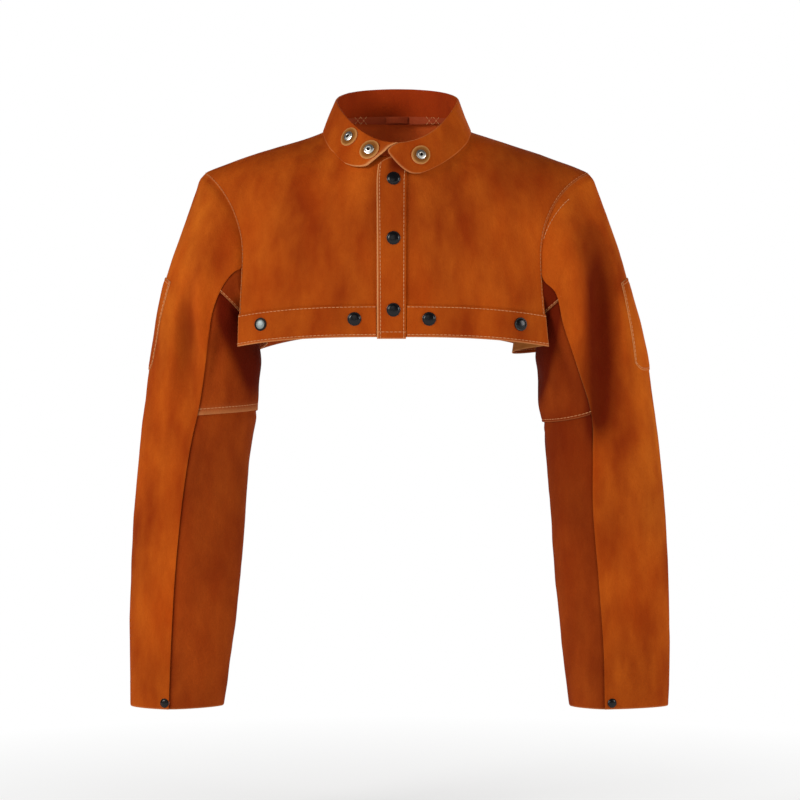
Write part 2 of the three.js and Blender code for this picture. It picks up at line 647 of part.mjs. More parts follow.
const placketSurface = (u, v) => {
  const x = mix(PLACKET.free, PLACKET.sewn, u);
  const round = PLACKET.corner * Math.pow(1 - THREE.MathUtils.clamp(u, 0, 1), 4);
  const top = neckZ(FRONT, Math.asin(x / NECK_HALF)) - round;
  return frontAt(x, mix(hemZ(FRONT, x) - PLACKET.below, top, v));
};
const placketFacing = facingSign(placketSurface, 0.5, 0.5, AHEAD);
const placketShell = wall(placketSurface, steps(GRID.placket.across), steps(GRID.placket.down),
  placketFacing, LAP, LAP + DOUBLE);
add('front_placket', placketShell, suede(RUST));

for (const { name, sign } of SIDES) {
  const start = SEAM + (sign > 0 ? PLACKET.sewn : -PLACKET.free);
  const surface = (u, v) => {
    const z = hemZ(FRONT, mix(start, armholeX(FRONT.hemSide), u)) + v * BAND_HEIGHT;
    return frontAt(sign * mix(start, armholeX(z), u), z);
  };
  const facing = facingSign(surface, 0.5, 0.5, AHEAD);
  const rows = steps(GRID.band.down);
  const band = wall(surface, steps(GRID.band.across), rows, facing, LAP, LAP + LEATHER);
  add(`hem_band_${name}`, band, suede(RUST));
}

// Sleeves and their pockets

const INSIDE_TURN = 0.75;
const EDGE_TURN = SEAM / 2 / FOLD_TURN;
const EDGE_STATION = SEAM / 2 / FOLD_STATION;

for (const { name, sign } of SIDES) {
  const surface = SLEEVES[name];
  const facing = sleeveFacing[name];
  const outerTurns = steps(GRID.sleeve.outer, EDGE_TURN, 0.5 - EDGE_TURN);
  const underTurns = steps(GRID.sleeve.under, 0.5 + EDGE_TURN, 1 - EDGE_TURN);
  const { gusset, upper, fore } = GRID.sleeve;
  const lean = (seam, turn) => {
    const { edge, inside } = SEAM_LEAN[seam][name];
    return mix(inside, edge, Math.abs(turn - INSIDE_TURN) * QUARTERS);
  };
  const gussetSeam = (turn) => GUSSET_END + lean('gusset', turn);
  const elbowSeam = (turn) => ELBOW_SEAM + lean('elbow', turn);
  const cuff = () => CUFF;
  const armhole = () => 0;
  const between = (node, turns, rows, from, to, color) => {
    const sheet = (turn, v) => surface(turn, mix(from(turn), to(turn), v));
    add(`${node}_${name}`, wall(sheet, turns, steps(rows), facing, -LEATHER, 0), suede(color));
  };
  const outerStations = [
    ...steps(gusset, 0, gussetSeam(1)), ...steps(upper, gussetSeam(1), elbowSeam(1)).slice(1),
    ...steps(fore, elbowSeam(1), CUFF).slice(1),
  ];
  const outer = wall(surface, outerTurns, outerStations, facing, -LEATHER, 0);
  add(`sleeve_outer_${name}`, outer, suede(RUST));
  const above = (seam) => (turn) => seam(turn) - EDGE_STATION;
  const below = (seam) => (turn) => seam(turn) + EDGE_STATION;
  between('underarm_gusset', underTurns, gusset, armhole, above(gussetSeam), DARK_RUST);
  between('sleeve_under_upper', underTurns, upper, below(gussetSeam), above(elbowSeam), RUST);
  between('sleeve_under_fore', underTurns, fore, below(elbowSeam), cuff, RUST);

  const pocket = (u, v) => {
    const end = POCKET.bottom - POCKET.corner * Math.pow(Math.abs(2 * u - 1), POCKET.round);
    return surface(mix(POCKET.front, POCKET.back, u), mix(POCKET.top, end, v));
  };
  const lift = (u, v) => LAP + POCKET.gape * Math.sin(Math.PI * u) * (1 - smooth(0, POCKET.mouth, v));
  const outside = facingSign(pocket, 0.5, 0.5, new THREE.Vector3(sign, 0, 0));
  const outerLift = (u, v) => lift(u, v) + LEATHER;
  const patch = wall(pocket, steps(GRID.pocket.across), steps(GRID.pocket.down), outside, lift, outerLift);
  add(`arm_pocket_${name}`, patch, suede(RUST));
}

// Collar, neck tape and hanger loop

const collarRows = COLLAR_ENDS.map((row) => row.height);
const collarLook = facingSign(collarSheet, 0.5, 0.5, BEHIND);
const collarShell = wall(collarSheet, steps(GRID.collar), collarRows, collarLook, -DOUBLE, 0);
add('collar', collarShell, suede(RUST));

function neckStrip(name, strip) {
  const surface = (u, v) => {
    const angle = mix(-strip.turn, strip.turn, u);
    const edge = onBody(BACK, NECK_HALF * Math.sin(angle), neckZ(BACK, angle));
    const inward = strip.inside + strip.bow * Math.sin(Math.PI * u);
    const below = strip.below * (1 - strip.taper * square(2 * u - 1));
    const rise = mix(-below, strip.above, v);
    return edge.add(new THREE.Vector3(-Math.sin(angle) * inward, -Math.cos(angle) * inward, rise));
  };
  const facing = facingSign(surface, 0.5, 0.5, BEHIND);
  add(name, wall(surface, steps(GRID.strip), steps(1), facing, -TAPE, 0), suede(DARK_RUST));
}
neckStrip('neck_tape', NECK_TAPE);
neckStrip('hanger_loop', HANGER);

// Snaps, with round leather washers under those on the collar

for (const snap of SNAPS) {
  const seat = snapSeat(snap);
  const metal = ['socket', 'bright'].includes(snap.kind) ? BRIGHT_METAL : BLACK_METAL;
  placeOn(add(snap.name, spun(snapProfile(snap.kind, seat)), metal), seat);
  const top = seat.low - SNAP_CLEAR;
  const end = top - SNAP_BACK.thick;
  const disc = [[0, end], [SNAP_BACK.radius, end], [SNAP_BACK.radius, top], [0, top]];
  placeOn(add(`${snap.name}_back`, spun(disc), BRIGHT_METAL), seat);
  if (snap.on !== 'collar') continue;
  const angle = THREE.MathUtils.degToRad(snap.angle);
  const along = collarAt(angle + NUDGE, snap.height).sub(seat.point).divideScalar(NUDGE);
  const upward = collarRim(angle).sub(collarBase(angle));
  const across = along.clone().normalize();
  const perAngle = along.length();
  const lean = upward.dot(across);
  const perHeight = upward.clone().addScaledVector(across, -lean).length();
  const washer = (turn, radius) => {
    const right = radius * Math.cos(turn * 2 * Math.PI);
    const up = radius * Math.sin(turn * 2 * Math.PI) / perHeight;
    return collarAt(angle + (right - up * lean) / perAngle, snap.height + up);
  };
  const turns = steps(WASHER.sides).slice(0, WASHER.sides);
  const facing = facingSign(washer, 0, WASHER.radius / 2, seat.normal);
  const ring = wall(washer, turns, [HOLE_RADIUS, WASHER.radius], facing, LAP, LAP + LEATHER, true);
  add(snap.name.replace('snap', 'washer'), ring, suede(TAN));
}

export default jacket;
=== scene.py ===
# Looks of a cropped welding jacket in split leather. Formulas are in millimetres in the part's own
# frame (X to the wearer's left, Y to the back, Z up), and meshes are made in metres.
import math

import bpy
import numpy as np
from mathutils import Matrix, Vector


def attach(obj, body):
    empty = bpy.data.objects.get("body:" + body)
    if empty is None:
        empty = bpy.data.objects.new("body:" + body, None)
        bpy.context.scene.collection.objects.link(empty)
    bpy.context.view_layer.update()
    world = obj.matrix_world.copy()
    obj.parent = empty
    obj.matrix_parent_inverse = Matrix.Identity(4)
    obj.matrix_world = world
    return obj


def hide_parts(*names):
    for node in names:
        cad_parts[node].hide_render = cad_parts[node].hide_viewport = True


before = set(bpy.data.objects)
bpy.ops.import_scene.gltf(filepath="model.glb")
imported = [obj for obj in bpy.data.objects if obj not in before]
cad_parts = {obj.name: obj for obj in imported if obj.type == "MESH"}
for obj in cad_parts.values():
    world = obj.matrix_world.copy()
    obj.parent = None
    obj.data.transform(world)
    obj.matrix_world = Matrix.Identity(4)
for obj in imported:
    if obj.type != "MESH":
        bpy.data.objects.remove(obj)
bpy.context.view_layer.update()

# Fronts
# Two chest fronts of split cowhide, cut flat and shaped over the chest, sewn to the back along the
# shoulders and lapped over the sleeves along the armholes. The left front closes over the right one.
MM = 0.001
LEATHER = 1.6  # one layer
DOUBLE = 2.4  # a folded strip
LAP = 0.4  # air between two layers
RESTING = 0.1  # a piece that is laid on another begins this far above it
SEAM = 0.5  # air between two edges sewn together
NUDGE = 0.004  # step in a surface's own measures that gives its normals

NECK_HALF = 86.5
NECK_SIDE_Z = 9.5
NECK_RISE = 49
NECK_RISE_X = 110
NECK_CURVE = 1.2
NECK_SHARE = 0.42  # share of a half panel's top edge that is neckline
SHOULDER_SLOPE = 0.31
SOFT_X = 60
TIP_X = 231
TIP_OUT = 9  # how far the armhole turns out at the shoulder, and how shortly
TIP_TURN = 8
TIP_ROUND = 0.0009
TIP_ROUND_X = 155
RIDGE_Y = 4
CHEST_HALF = 176.5
ARMHOLE_DROP = 100
HEM_FLARE = 4.7
HEM_CURVE = 3
FRONT_EDGE = 9  # edge of the under front, hidden by the placket
PULL = dict(start=0.35, curve=1.5)  # where across a half panel the armhole's curve begins to tell

# Depth of the body: side is -1 for the front and 1 for the back
FRONT = dict(side=-1, centre=118, edge=78, reach=240, bend=2.8, neck_z=-29, hem_mid=-239.5, hem_side=-249.5)
BACK = dict(side=1, centre=102, edge=76, reach=160, bend=2.6, neck_z=32, hem_mid=-230, hem_side=-254)

# How far the body and the arms hang off centre, and where that sets in along each axis
SWAY = dict(shift=-6, z=(0, -60), y=(15, -60), x=(195, 265))
ARM_SWAY = dict(shift=3, z=(-190, -290), x=(150, 190))
SIDES = (("left", 1), ("right", -1))


def mix(a, b, t):
    return a + (b - a) * t


def smooth(span, value):
    t = np.clip((value - span[0]) / (span[1] - span[0]), 0, 1)
    return t * t * (3 - 2 * t)


def stack(*columns):
    return np.stack(np.broadcast_arrays(*columns), axis=-1).astype(float)


def shoulder_z(x):
    sweep = NECK_RISE * np.maximum(0, 1 - (x / NECK_RISE_X) ** 2) ** 4
    out = np.where(x > SOFT_X, x, (x * x / SOFT_X + SOFT_X) / 2)
    tip = TIP_ROUND * np.maximum(0, x - TIP_ROUND_X) ** 2
    return NECK_SIDE_Z - SHOULDER_SLOPE * (out - NECK_HALF) + sweep - tip


TIP_Z = float(shoulder_z(np.array(TIP_X)))


def armhole_x(z):
    down = (TIP_Z - z) / ARMHOLE_DROP
    flare = HEM_FLARE * np.maximum(0, down - 1) ** 1.5
    curve = (TIP_X - TIP_OUT - CHEST_HALF) * np.maximum(0, 1 - down) ** 2
    return CHEST_HALF + curve + TIP_OUT * np.clip(1 - down, 0, 1) ** TIP_TURN + flare


def neck_z(half, turn):
    side_z = float(shoulder_z(np.array(NECK_HALF)))
    return mix(side_z, half["neck_z"], np.maximum(0, np.cos(turn)) ** NECK_CURVE)


def hem_z(half, x):
    out = np.abs(x) / armhole_x(half["hem_side"])
    return mix(half["hem_mid"], half["hem_side"], out ** HEM_CURVE)


def on_body(half, x, z):
    """Point of the body's front or back face at x and z."""
    across = np.minimum(1, np.abs(x) / armhole_x(z))
    full = mix(half["centre"], half["edge"], across ** half["bend"])
    fall = np.clip((shoulder_z(np.abs(x)) - z) / half["reach"], 0, 1)
    depth = np.sqrt(1 - (1 - fall) ** 2) * full
    return stack(x, RIDGE_Y + half["side"] * (SEAM / 2 + depth), z)


def half_sheet(half, middle_x, u, w):
    """Half of the front or back: u from the middle edge to the armhole, w from the top to the hem."""
    u = np.clip(u, 0, 1)
    w = np.clip(w, 0, 1)
    lean = math.asin(middle_x / NECK_HALF)

    def top(at):
        turn = mix(lean, math.pi / 2, np.minimum(at / NECK_SHARE, 1))
        out = mix(NECK_HALF, TIP_X, np.maximum(at - NECK_SHARE, 0) / (1 - NECK_SHARE))
        on_neck = at < NECK_SHARE
        x = np.where(on_neck, NECK_HALF * np.sin(turn), out)
        return stack(x, np.where(on_neck, neck_z(half, turn), shoulder_z(out)))

    def hem(at):
        x = mix(middle_x, armhole_x(half["hem_side"]), at)
        return stack(x, hem_z(half, x))

    def armhole(at):
        z = mix(TIP_Z, half["hem_side"], at)
        return stack(armhole_x(z), z)

    down = w[..., None]
    last = np.array(1.0)
    pull = np.clip((u - PULL["start"]) / (1 - PULL["start"]), 0, 1) ** PULL["curve"]
    curve = armhole(w) - mix(top(last), hem(last), down)
    place = mix(top(u), hem(u), down) + curve * pull[..., None]
    return on_body(half, place[..., 0], place[..., 1])


def flip(points, sign):
    return points * np.array([sign, 1, 1])


def hang(points):
    """The jacket hangs off centre: a smooth shift that every piece shares."""
    x, y, z = np.abs(points[..., 0]), points[..., 1], points[..., 2]
    body = smooth(SWAY["z"], z) * smooth(SWAY["y"], y) * (1 - smooth(SWAY["x"], x))
    arm = smooth(ARM_SWAY["z"], z) * smooth(ARM_SWAY["x"], x)
    shift = SWAY["shift"] * body + ARM_SWAY["shift"] * arm
    return points + stack(shift, 0, 0)


def cloud(points, size, seed):
    """Smooth noise from -1 to 1, with lumps of about that size."""
    count = 32
    lattice = np.random.default_rng(seed).uniform(-1, 1, (count, count, count))
    cell = np.floor(points / size).astype(int)
    t = points / size - cell
    t = t * t * (3 - 2 * t)
    total = np.zeros(points.shape[:-1])
    for corner in np.ndindex(2, 2, 2):
        at = (cell + corner) % count
        weight = np.prod(np.where(corner, t, 1 - t), axis=-1)
        total = total + weight * lattice[at[..., 0], at[..., 1], at[..., 2]]
    return total


# Unevenness of the hide, shared by all layers at one place: size of the lumps, height and seed
DENTS = ((58, 1.0, 3), (24, 0.45, 5), (10, 0.14, 8))


def dents(points):
    return sum(height * cloud(points, size, seed) for size, height, seed in DENTS)


def normals(surface, u, v):
    along = surface(u + NUDGE, v) - surface(u - NUDGE, v)
    down = surface(u, v + NUDGE) - surface(u, v - NUDGE)
    normal = np.cross(along, down)
    return normal / np.linalg.norm(normal, axis=-1, keepdims=True)


def facing(surface, look, u=0.5, v=0.5):
    """Sign that turns a surface's normals to look the given way, judged at one place of it."""
    at = normals(surface, np.array(u), np.array(v))
    return 1 if float(at @ np.array(look)) > 0 else -1


def settle(surface, u, v, sign, lift):
    """Points of a surface raised by lift, with the hide's dents and the jacket's hang."""
    points = surface(u, v)
    height = lift + dents(points)
    return hang(points + normals(surface, u, v) * sign * np.asarray(height)[..., None])


# Rows of the mesh near an edge, and the step between the others
NEAR_EDGE = np.array([0, 0.5, 1.2, 2.1, 3.0, 3.9, 5.2])
STEP = 3.2


def spaced(length, step=STEP):
    """Places from 0 to 1 along a length, closer together near both ends."""
    inner = length - 2 * NEAR_EDGE[-1]
    count = max(2, round(inner / step))
    between = NEAR_EDGE[-1] + np.linspace(0, inner, count + 1)
    return np.concatenate([NEAR_EDGE[:-1], between, length - NEAR_EDGE[-2::-1]]) / length


def quads(*corners):
    return np.stack(corners, axis=-1).reshape(-1, 4)


EDGE_DROP = 0.55  # rounding of a cut edge
EDGE_WIDTH = 0.9
SKIVE = 0.55  # how much a thinned edge is shaved down, and over what width
SKIVE_WIDTH = 2.6
GROOVE = 0.5  # how deep the thread pulls the leather in
GROOVE_WIDTH = 1.1
SEAM_END = 2.0  # a row of stitches stops this far from the edges that it runs to
THREAD = 0.42  # radius of the thread
stitch_runs = {}


def bell(distance, width):
    return np.exp(-((distance / width) ** 2))


def leather(node, surface, us, vs, sign, low=-LEATHER, high=0, skins=None, raw=(),
            dim=(), seams=(), skived=(), lift=None, shade=None, ring=False, flat=None):
    """A wall of leather from low to high above a surface. us run from its start to its end, vs from
    its top to its bottom. raw lists the edges that show pale fibres and dim those painted darker with
    the shade along a seam or beside a piece laid over it, each with a width and a strength. seams
    lists the stitched lines, each as an edge and a distance from it, and skived the edges that are
    shaved thin. shade darkens it below 0, mostly as painted shade in a fold, and lightens it above 0
    with painted light. skins are the outer, inner and cut finish, and flat is the size it was cut to
    where that isn't the size of the surface."""
    u, v = np.meshgrid(us, vs)
    base = surface(u, v)
    start = np.pad(np.cumsum(np.linalg.norm(np.diff(base, axis=1), axis=2), axis=1), ((0, 0), (1, 0)))
    top = np.pad(np.cumsum(np.linalg.norm(np.diff(base, axis=0), axis=2), axis=0), ((1, 0), (0, 0)))
    reach = dict(start=start, end=start[:, -1:] - start, top=top, bottom=top[-1:] - top)
    edges = ("top", "bottom") if ring else tuple(reach)
    nearest = np.minimum.reduce([reach[edge] for edge in edges])
    relief = -EDGE_DROP * bell(nearest, EDGE_WIDTH)
    for edge in skived:
        relief = relief - SKIVE * bell(reach[edge], SKIVE_WIDTH)
    for edge, distance in seams:
        relief = relief - GROOVE * bell(reach[edge] - distance, GROOVE_WIDTH)
    extra = lift(u, v, reach) if lift else np.zeros_like(u)
    outer = settle(surface, u, v, sign, high + relief + extra)
    inner = settle(surface, u, v, sign, low + extra)
    pale = np.zeros_like(u)
    for edge, width, strength in raw:
        pale = np.maximum(pale, strength * bell(reach[edge], width))
    tone = np.clip(shade(u, v), -1, 1) if shade else np.zeros_like(u)
    for edge, width, strength in dim:
        tone = np.minimum(tone, -strength * bell(reach[edge], width))

    over, under = np.arange(2 * u.size).reshape(2, *u.shape)
    if ring:
        over, under = (np.concatenate([grid, grid[:, :1]], axis=1) for grid in (over, under))
    parts = [
        (0, quads(over[:-1, :-1], over[:-1, 1:], over[1:, 1:], over[1:, :-1])),
        (1, quads(under[:-1, :-1], under[1:, :-1], under[1:, 1:], under[:-1, 1:])),
        (2, quads(over[0, :-1], under[0, :-1], under[0, 1:], over[0, 1:])),
        (2, quads(over[-1, :-1], over[-1, 1:], under[-1, 1:], under[-1, :-1])),
    ]
    if not ring:
        parts.append((2, quads(over[:-1, 0], over[1:, 0], under[1:, 0], under[:-1, 0])))
        parts.append((2, quads(over[:-1, -1], under[:-1, -1], under[1:, -1], over[1:, -1])))
    faces = np.concatenate([part for _, part in parts])
    finish = np.concatenate([np.full(len(part), number) for number, part in parts])
    if sign < 0:
        faces = faces[:, ::-1]
    points = np.concatenate([outer.reshape(-1, 3), inner.reshape(-1, 3)]) * MM
    piece = solid(node + "_leather", points, faces.tolist(), skins or RUST_SKINS, finish)
    for name, values in (("raw_edge", pale), ("tone_with_painted_shade_and_light", tone)):
        layer = piece.data.attributes.new(name, "FLOAT", "POINT")
        layer.data.foreach_set("value", np.tile(values.ravel(), 2).astype(np.float32))
    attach(piece, "root")
    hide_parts(node)
    width, length = flat or (float(start[:, -1].max()), float(top[-1].max()))

    for edge, distance in seams:
        order = slice(None, None, 1 if edge in ("start", "top") else -1)
        if edge in ("start", "end"):
            path_u = np.array([np.interp(distance, row[order], us[order]) for row in reach[edge]])
            path_v = vs
            far = np.minimum(reach["top"], reach["bottom"])[:, len(us) // 2]
        else:
            path_u = us
            path_v = np.array([np.interp(distance, row[order], vs[order]) for row in reach[edge].T])
            far = np.minimum(reach["start"], reach["end"])[len(vs) // 2]
        inside = far >= SEAM_END
        stitches(node, surface, path_u[inside], path_v[inside], sign, high - GROOVE + THREAD / 2)


def stitches(group, surface, path_u, path_v, sign, lift):
    """Keeps a line of thread on a surface for the stitching at the end."""
    stitch_runs.setdefault(group, []).append(settle(surface, path_u, path_v, sign, lift) * MM)


def add_object(name, content):
    """A new object at the origin of the scene."""
    made = bpy.data.objects.new(name, content)
    bpy.context.scene.collection.objects.link(made)
    return made


def solid(name, points, faces, finishes, numbers, sharp=38):
    """A mesh from points in metres, with the number of the finish that each face has. Edges that turn
    by more than sharp degrees stay sharp."""
    mesh = bpy.data.meshes.new(name)
    mesh.from_pydata(points.tolist(), [], faces)
    for finish in finishes:
        mesh.materials.append(finish)
    mesh.polygons.foreach_set("material_index", np.asarray(numbers, dtype=np.int32))
    mesh.shade_smooth()
    mesh.set_sharp_from_angle(angle=math.radians(sharp))
    return add_object(name, mesh)


def colour(code):
    """Linear colour of an sRGB hex value."""
    parts = [int(code[i:i + 2], 16) / 255 for i in (1, 3, 5)]
    line = [p / 12.92 if p <= 0.04045 else ((p + 0.055) / 1.055) ** 2.4 for p in parts]
    return (*line, 1.0)


def add_node(tree, kind, inputs, **settings):
    """A node with its settings, and its inputs as values or as links from other sockets."""
    made = tree.nodes.new(kind)
    for name, value in settings.items():
        setattr(made, name, value)
    for name, value in inputs.items():
        if isinstance(value, bpy.types.NodeSocket):
            tree.links.new(value, made.inputs[name])
        else:
            made.inputs[name].default_value = value
    return made


def new_material(name):
    """An empty material, its nodes, and the place on the part that its patterns read."""
    material = bpy.data.materials.new(name)
    material.use_nodes = True
    tree = material.node_tree
    tree.nodes.clear()
    return material, tree, add_node(tree, "ShaderNodeTexCoord", {}).outputs["Object"]


FIBRE = "#D2935C"  # a raw cut edge
CREASE_SHADE = "#4E0400"  # painted shade deep in a fold
LIGHT_GAIN = (0.22, 0.48, 0.55)  # how much lighter in red, green and blue painted light makes it
BRUSHED = (1.0, 1.0, 0.45)  # the nap is brushed down, which draws its patterns out


def suede(name, deep, middle, light, fibre=FIBRE):
    """Waxed split cowhide with a brushed nap: very matt and cloudy where the dye took unevenly. Where its
    tone is below 0 it is darker, mostly with painted shade as down in a fold, and above 0 it is lighter
    with painted light. The nap is drawn coarser than the real half millimetre so that it shows."""
    material, tree, place = new_material(name)
    brushed = add_node(tree, "ShaderNodeMapping", {"Vector": place, "Scale": BRUSHED}).outputs[0]
    # Patterns of the hide: size in metres, where it is read, detail, and the values that give 0 and 1
    patterns = dict(
        blotch=(0.075, brushed, 2.0, 0.34, 0.66),
        clouds=(0.03, brushed, 2.5, 0.3, 0.72),
        streaks=(0.008, brushed, 3.0, 0.3, 0.75),
        nap=(0.0016, brushed, 2.0, 0.25, 0.75),
        pores=(0.0045, place, 3.0, 0.3, 0.7),
    )
    shown = {}
    for what, (size, vector, detail, low, high) in patterns.items():
        texture = add_node(tree, "ShaderNodeTexNoise", {
            "Vector": vector, "Scale": 1 / size, "Detail": detail, "Roughness": 0.55})
        shown[what] = add_node(tree, "ShaderNodeMapRange", {
            "Value": texture.outputs[0], "From Min": low, "From Max": high}).outputs[0]
    # The tone on the leather: below 0 mostly painted shade, as down in folds, in seams and under the arms,
    # and above 0 painted light
    tone = add_node(tree, "ShaderNodeAttribute", {}, attribute_name="tone_with_painted_shade_and_light").outputs["Fac"]
    sunk = add_node(tree, "ShaderNodeMapRange", {
        "Value": tone, "From Min": 0.0, "From Max": -1.0}).outputs[0]
    raised = add_node(tree, "ShaderNodeMapRange", {
        "Value": tone, "From Min": 0.0, "From Max": 1.0}).outputs[0]
    mixer = dict(data_type="RGBA")
    dyed = add_node(tree, "ShaderNodeMix", {
        0: shown["blotch"], 6: colour(deep), 7: colour(middle)}, **mixer)
    # What lies over the dye: where, how strongly and in what colour; the last is painted shade where the
    # tone is below 0
    layers = ((shown["clouds"], 0.55, light), (shown["streaks"], 0.22, deep), (shown["nap"], 0.16, deep),
              (sunk, 0.85, CREASE_SHADE))
    for where, strength, tint in layers:
        share = add_node(tree, "ShaderNodeMath", {0: where, 1: strength}, operation="MULTIPLY").outputs[0]
        dyed = add_node(tree, "ShaderNodeMix", {0: share, 6: dyed.outputs[2], 7: colour(tint)}, **mixer)
    # Painted light: the colour is lightened where the tone is above 0
    rubbed = add_node(tree, "ShaderNodeVectorMath", {0: dyed.outputs[2], 1: LIGHT_GAIN}, operation="MULTIPLY")
    painted_lit_colour = add_node(tree, "ShaderNodeVectorMath", {
        0: rubbed.outputs[0], 1: raised, 2: dyed.outputs[2]}, operation="MULTIPLY_ADD")
    edge = add_node(tree, "ShaderNodeAttribute", {}, attribute_name="raw_edge").outputs["Fac"]
    whole = add_node(tree, "ShaderNodeMix", {0: edge, 6: painted_lit_colour.outputs[0], 7: colour(fibre)}, **mixer)
    rough = add_node(tree, "ShaderNodeMapRange", {
        "Value": shown["nap"], "To Min": 0.84, "To Max": 0.98}).outputs[0]
    creased = add_node(tree, "ShaderNodeBump", {
        "Height": shown["pores"], "Strength": 0.35, "Distance": 0.0006})
    fuzzy = add_node(tree, "ShaderNodeBump", {
        "Height": shown["nap"], "Strength": 0.45, "Distance": 0.0004, "Normal": creased.outputs[0]})
    shader = add_node(tree, "ShaderNodeBsdfPrincipled", {
        "Base Color": whole.outputs[2], "Roughness": rough, "Normal": fuzzy.outputs[0], "IOR": 1.5,
        "Specular IOR Level": 0.05, "Sheen Weight": 0.03, "Sheen Roughness": 0.5,
        "Sheen Tint": colour("#E08A40")})
    add_node(tree, "ShaderNodeOutputMaterial", {"Surface": shader.outputs[0]})
    return material


rust_suede = suede("rust_split_leather", "#842C05", "#AF460A", "#C86317")
flesh_suede = suede("flesh_side_of_split_leather", "#86290A", "#9C330C", "#AA3F10")
cut_edge = suede("cut_edge_of_split_leather", "#9A4A18", "#B4622A", "#C47A42")
RUST_SKINS = (rust_suede, flesh_suede, cut_edge)

FRONT_WIDTH = 200
FRONT_LENGTH = 300
ARMHOLE_STITCH = dict(left=2.6, right=1.6)
PLACKET_SHADE = dict(width=26, left=0.2, right=0.5)  # painted shadow of the placket on a front beside it
# The left front is darker towards its shoulder
SHOULDER_TONE = dict(left=0.42, right=0, across=(0.3, 0.75), down=(0.08, 0.42))


def front_sheet(middle_x, sign):
    return lambda u, w: flip(half_sheet(FRONT, middle_x, u, w), sign)


def shoulder_tone(name):
    across, down = SHOULDER_TONE["across"], SHOULDER_TONE["down"]
    return lambda u, w: -SHOULDER_TONE[name] * smooth(across, u) * (1 - smooth(down, w))


def from_shoulder(length):
    """Places down a panel, closest together where it turns over the shoulder."""
    return 1 - np.cos(spaced(length) * math.pi / 2)


for name, sign in SIDES:
    surface = front_sheet(FRONT_EDGE + SEAM if sign > 0 else -FRONT_EDGE, sign)
    look = facing(surface, (0, -1, 0))
    leather(f"front_panel_{name}", surface, spaced(FRONT_WIDTH), from_shoulder(FRONT_LENGTH), look,
            raw=(("end", 1.1, 0.2),), seams=(("end", ARMHOLE_STITCH[name]),),
            dim=(("start", PLACKET_SHADE["width"], PLACKET_SHADE[name]),), skived=("end",),
            shade=shoulder_tone(name))

# Back
# One piece of the same leather from the shoulder seams to the hem, sewn to the fronts at the
# shoulders, hemmed with one row of thread and stitched along both armholes.
BACK_WIDTH = 400
BACK_LENGTH = 290
ARMHOLE_ROW = 3.0  # how far from its edge each row of thread lies
HEM_ROW = 4.2
CUT_HEM = (("bottom", 1.0, 0.5),)  # the pale cut edge of a hem
# The inside of the back is painted lighter than the flesh side elsewhere: painted light where it lies in
# shade below the neck
neck_suede = suede("flesh_side_painted_lighter_inside_the_back", "#B4481A", "#C6541F", "#D06228")


def back_sheet(u, w):
    half = half_sheet(BACK, 0, np.minimum(1, np.abs(u)), w)
    return half * stack(np.where(np.asarray(u) < 0, -1, 1), 1, 1)


leather("back_panel", back_sheet, mix(-1, 1, spaced(BACK_WIDTH)), from_shoulder(BACK_LENGTH),
        facing(back_sheet, (0, 1, 0)), skins=(rust_suede, neck_suede, cut_edge), raw=CUT_HEM,
        seams=(("start", ARMHOLE_ROW), ("end", ARMHOLE_ROW), ("bottom", HEM_ROW)), skived=("start", "end"))

# Side walls
# Short underarm walls of the same leather, undyed on the inside. They are tucked in behind the front
# and the back and drawn in at the hem.
RIM_SHARE = 0.72  # a sleeve's top edge follows the panels this far in from its outer side
RIM_LOW = 0.66  # and this far down their armhole edges
SIDE_WALL = dict(tuck=0.975, pinch=dict(left=36, right=19), drop=dict(left=5, right=-8), above=0.02,
                 clear=2.2)
ARMPIT_X = 160
ARMPIT_Z = -216


def behind_panel(half, u, w, depth):
    """Point below the outer face of a front or back panel, near its armhole edge."""
    middle_x = FRONT_EDGE + SEAM if half is FRONT else 0

    def sheet(across, down):
        return half_sheet(half, middle_x, across, down)

    u, w = np.broadcast_arrays(np.asarray(u, dtype=float), np.asarray(w, dtype=float))
    sign = facing(sheet, (0, half["side"], 0))
    normal = normals(sheet, np.minimum(u, 1 - NUDGE), np.maximum(w, NUDGE)) * sign
    return sheet(u, w) - normal * depth


def side_sheet(name, sign):
    def sheet(a, b):
        a, b = np.clip(a, 0, 1), np.clip(b, 0, 1)
        w = mix(RIM_LOW + SIDE_WALL["above"], 1, b)
        under = 2 * LEATHER + LAP
        front = behind_panel(FRONT, SIDE_WALL["tuck"], w, under)
        back = behind_panel(BACK, SIDE_WALL["tuck"], w, under)
        point = mix(front, back, ((1 - np.cos(a * math.pi)) / 2)[..., None])
        tuck = np.sin(a * math.pi)
        pinch = mix(point[..., 0] - ARMPIT_X + SIDE_WALL["clear"], SIDE_WALL["pinch"][name], b)
        drop = mix(point[..., 2] - ARMPIT_Z + SIDE_WALL["clear"], SIDE_WALL["drop"][name], b)
        return flip(point - stack(pinch * tuck, 0, drop * tuck), sign)
    return sheet


SIDE_WIDTH = 180
SIDE_LENGTH = 80
bare_suede = suede("undyed_side_of_split_leather", "#A0602A", "#B87436", "#C88848")
for name, sign in SIDES:
    surface = side_sheet(name, sign)
    look = facing(surface, (sign, 0, 0))
    leather(f"side_panel_{name}", surface, spaced(SIDE_WIDTH), spaced(SIDE_LENGTH), look,
            skins=(rust_suede, bare_suede, cut_edge), raw=CUT_HEM,
            seams=(("bottom", HEM_ROW),))

# Placket
# A folded strip of leather over the meeting of the fronts, sewn down along the wearer's left edge
# and stitched round its free edge, with a rounded corner at the throat.
PLACKET = dict(free=-17, sewn=16.5, length=214, below=2, corner=11, tone=0.14)
# Painted shadow of the collar's ends on the placket at the throat, below them
THROAT_SHADE = dict(depth=0.75, end=0.13, across=(0.2, 0.5), down=(0.4, 1))


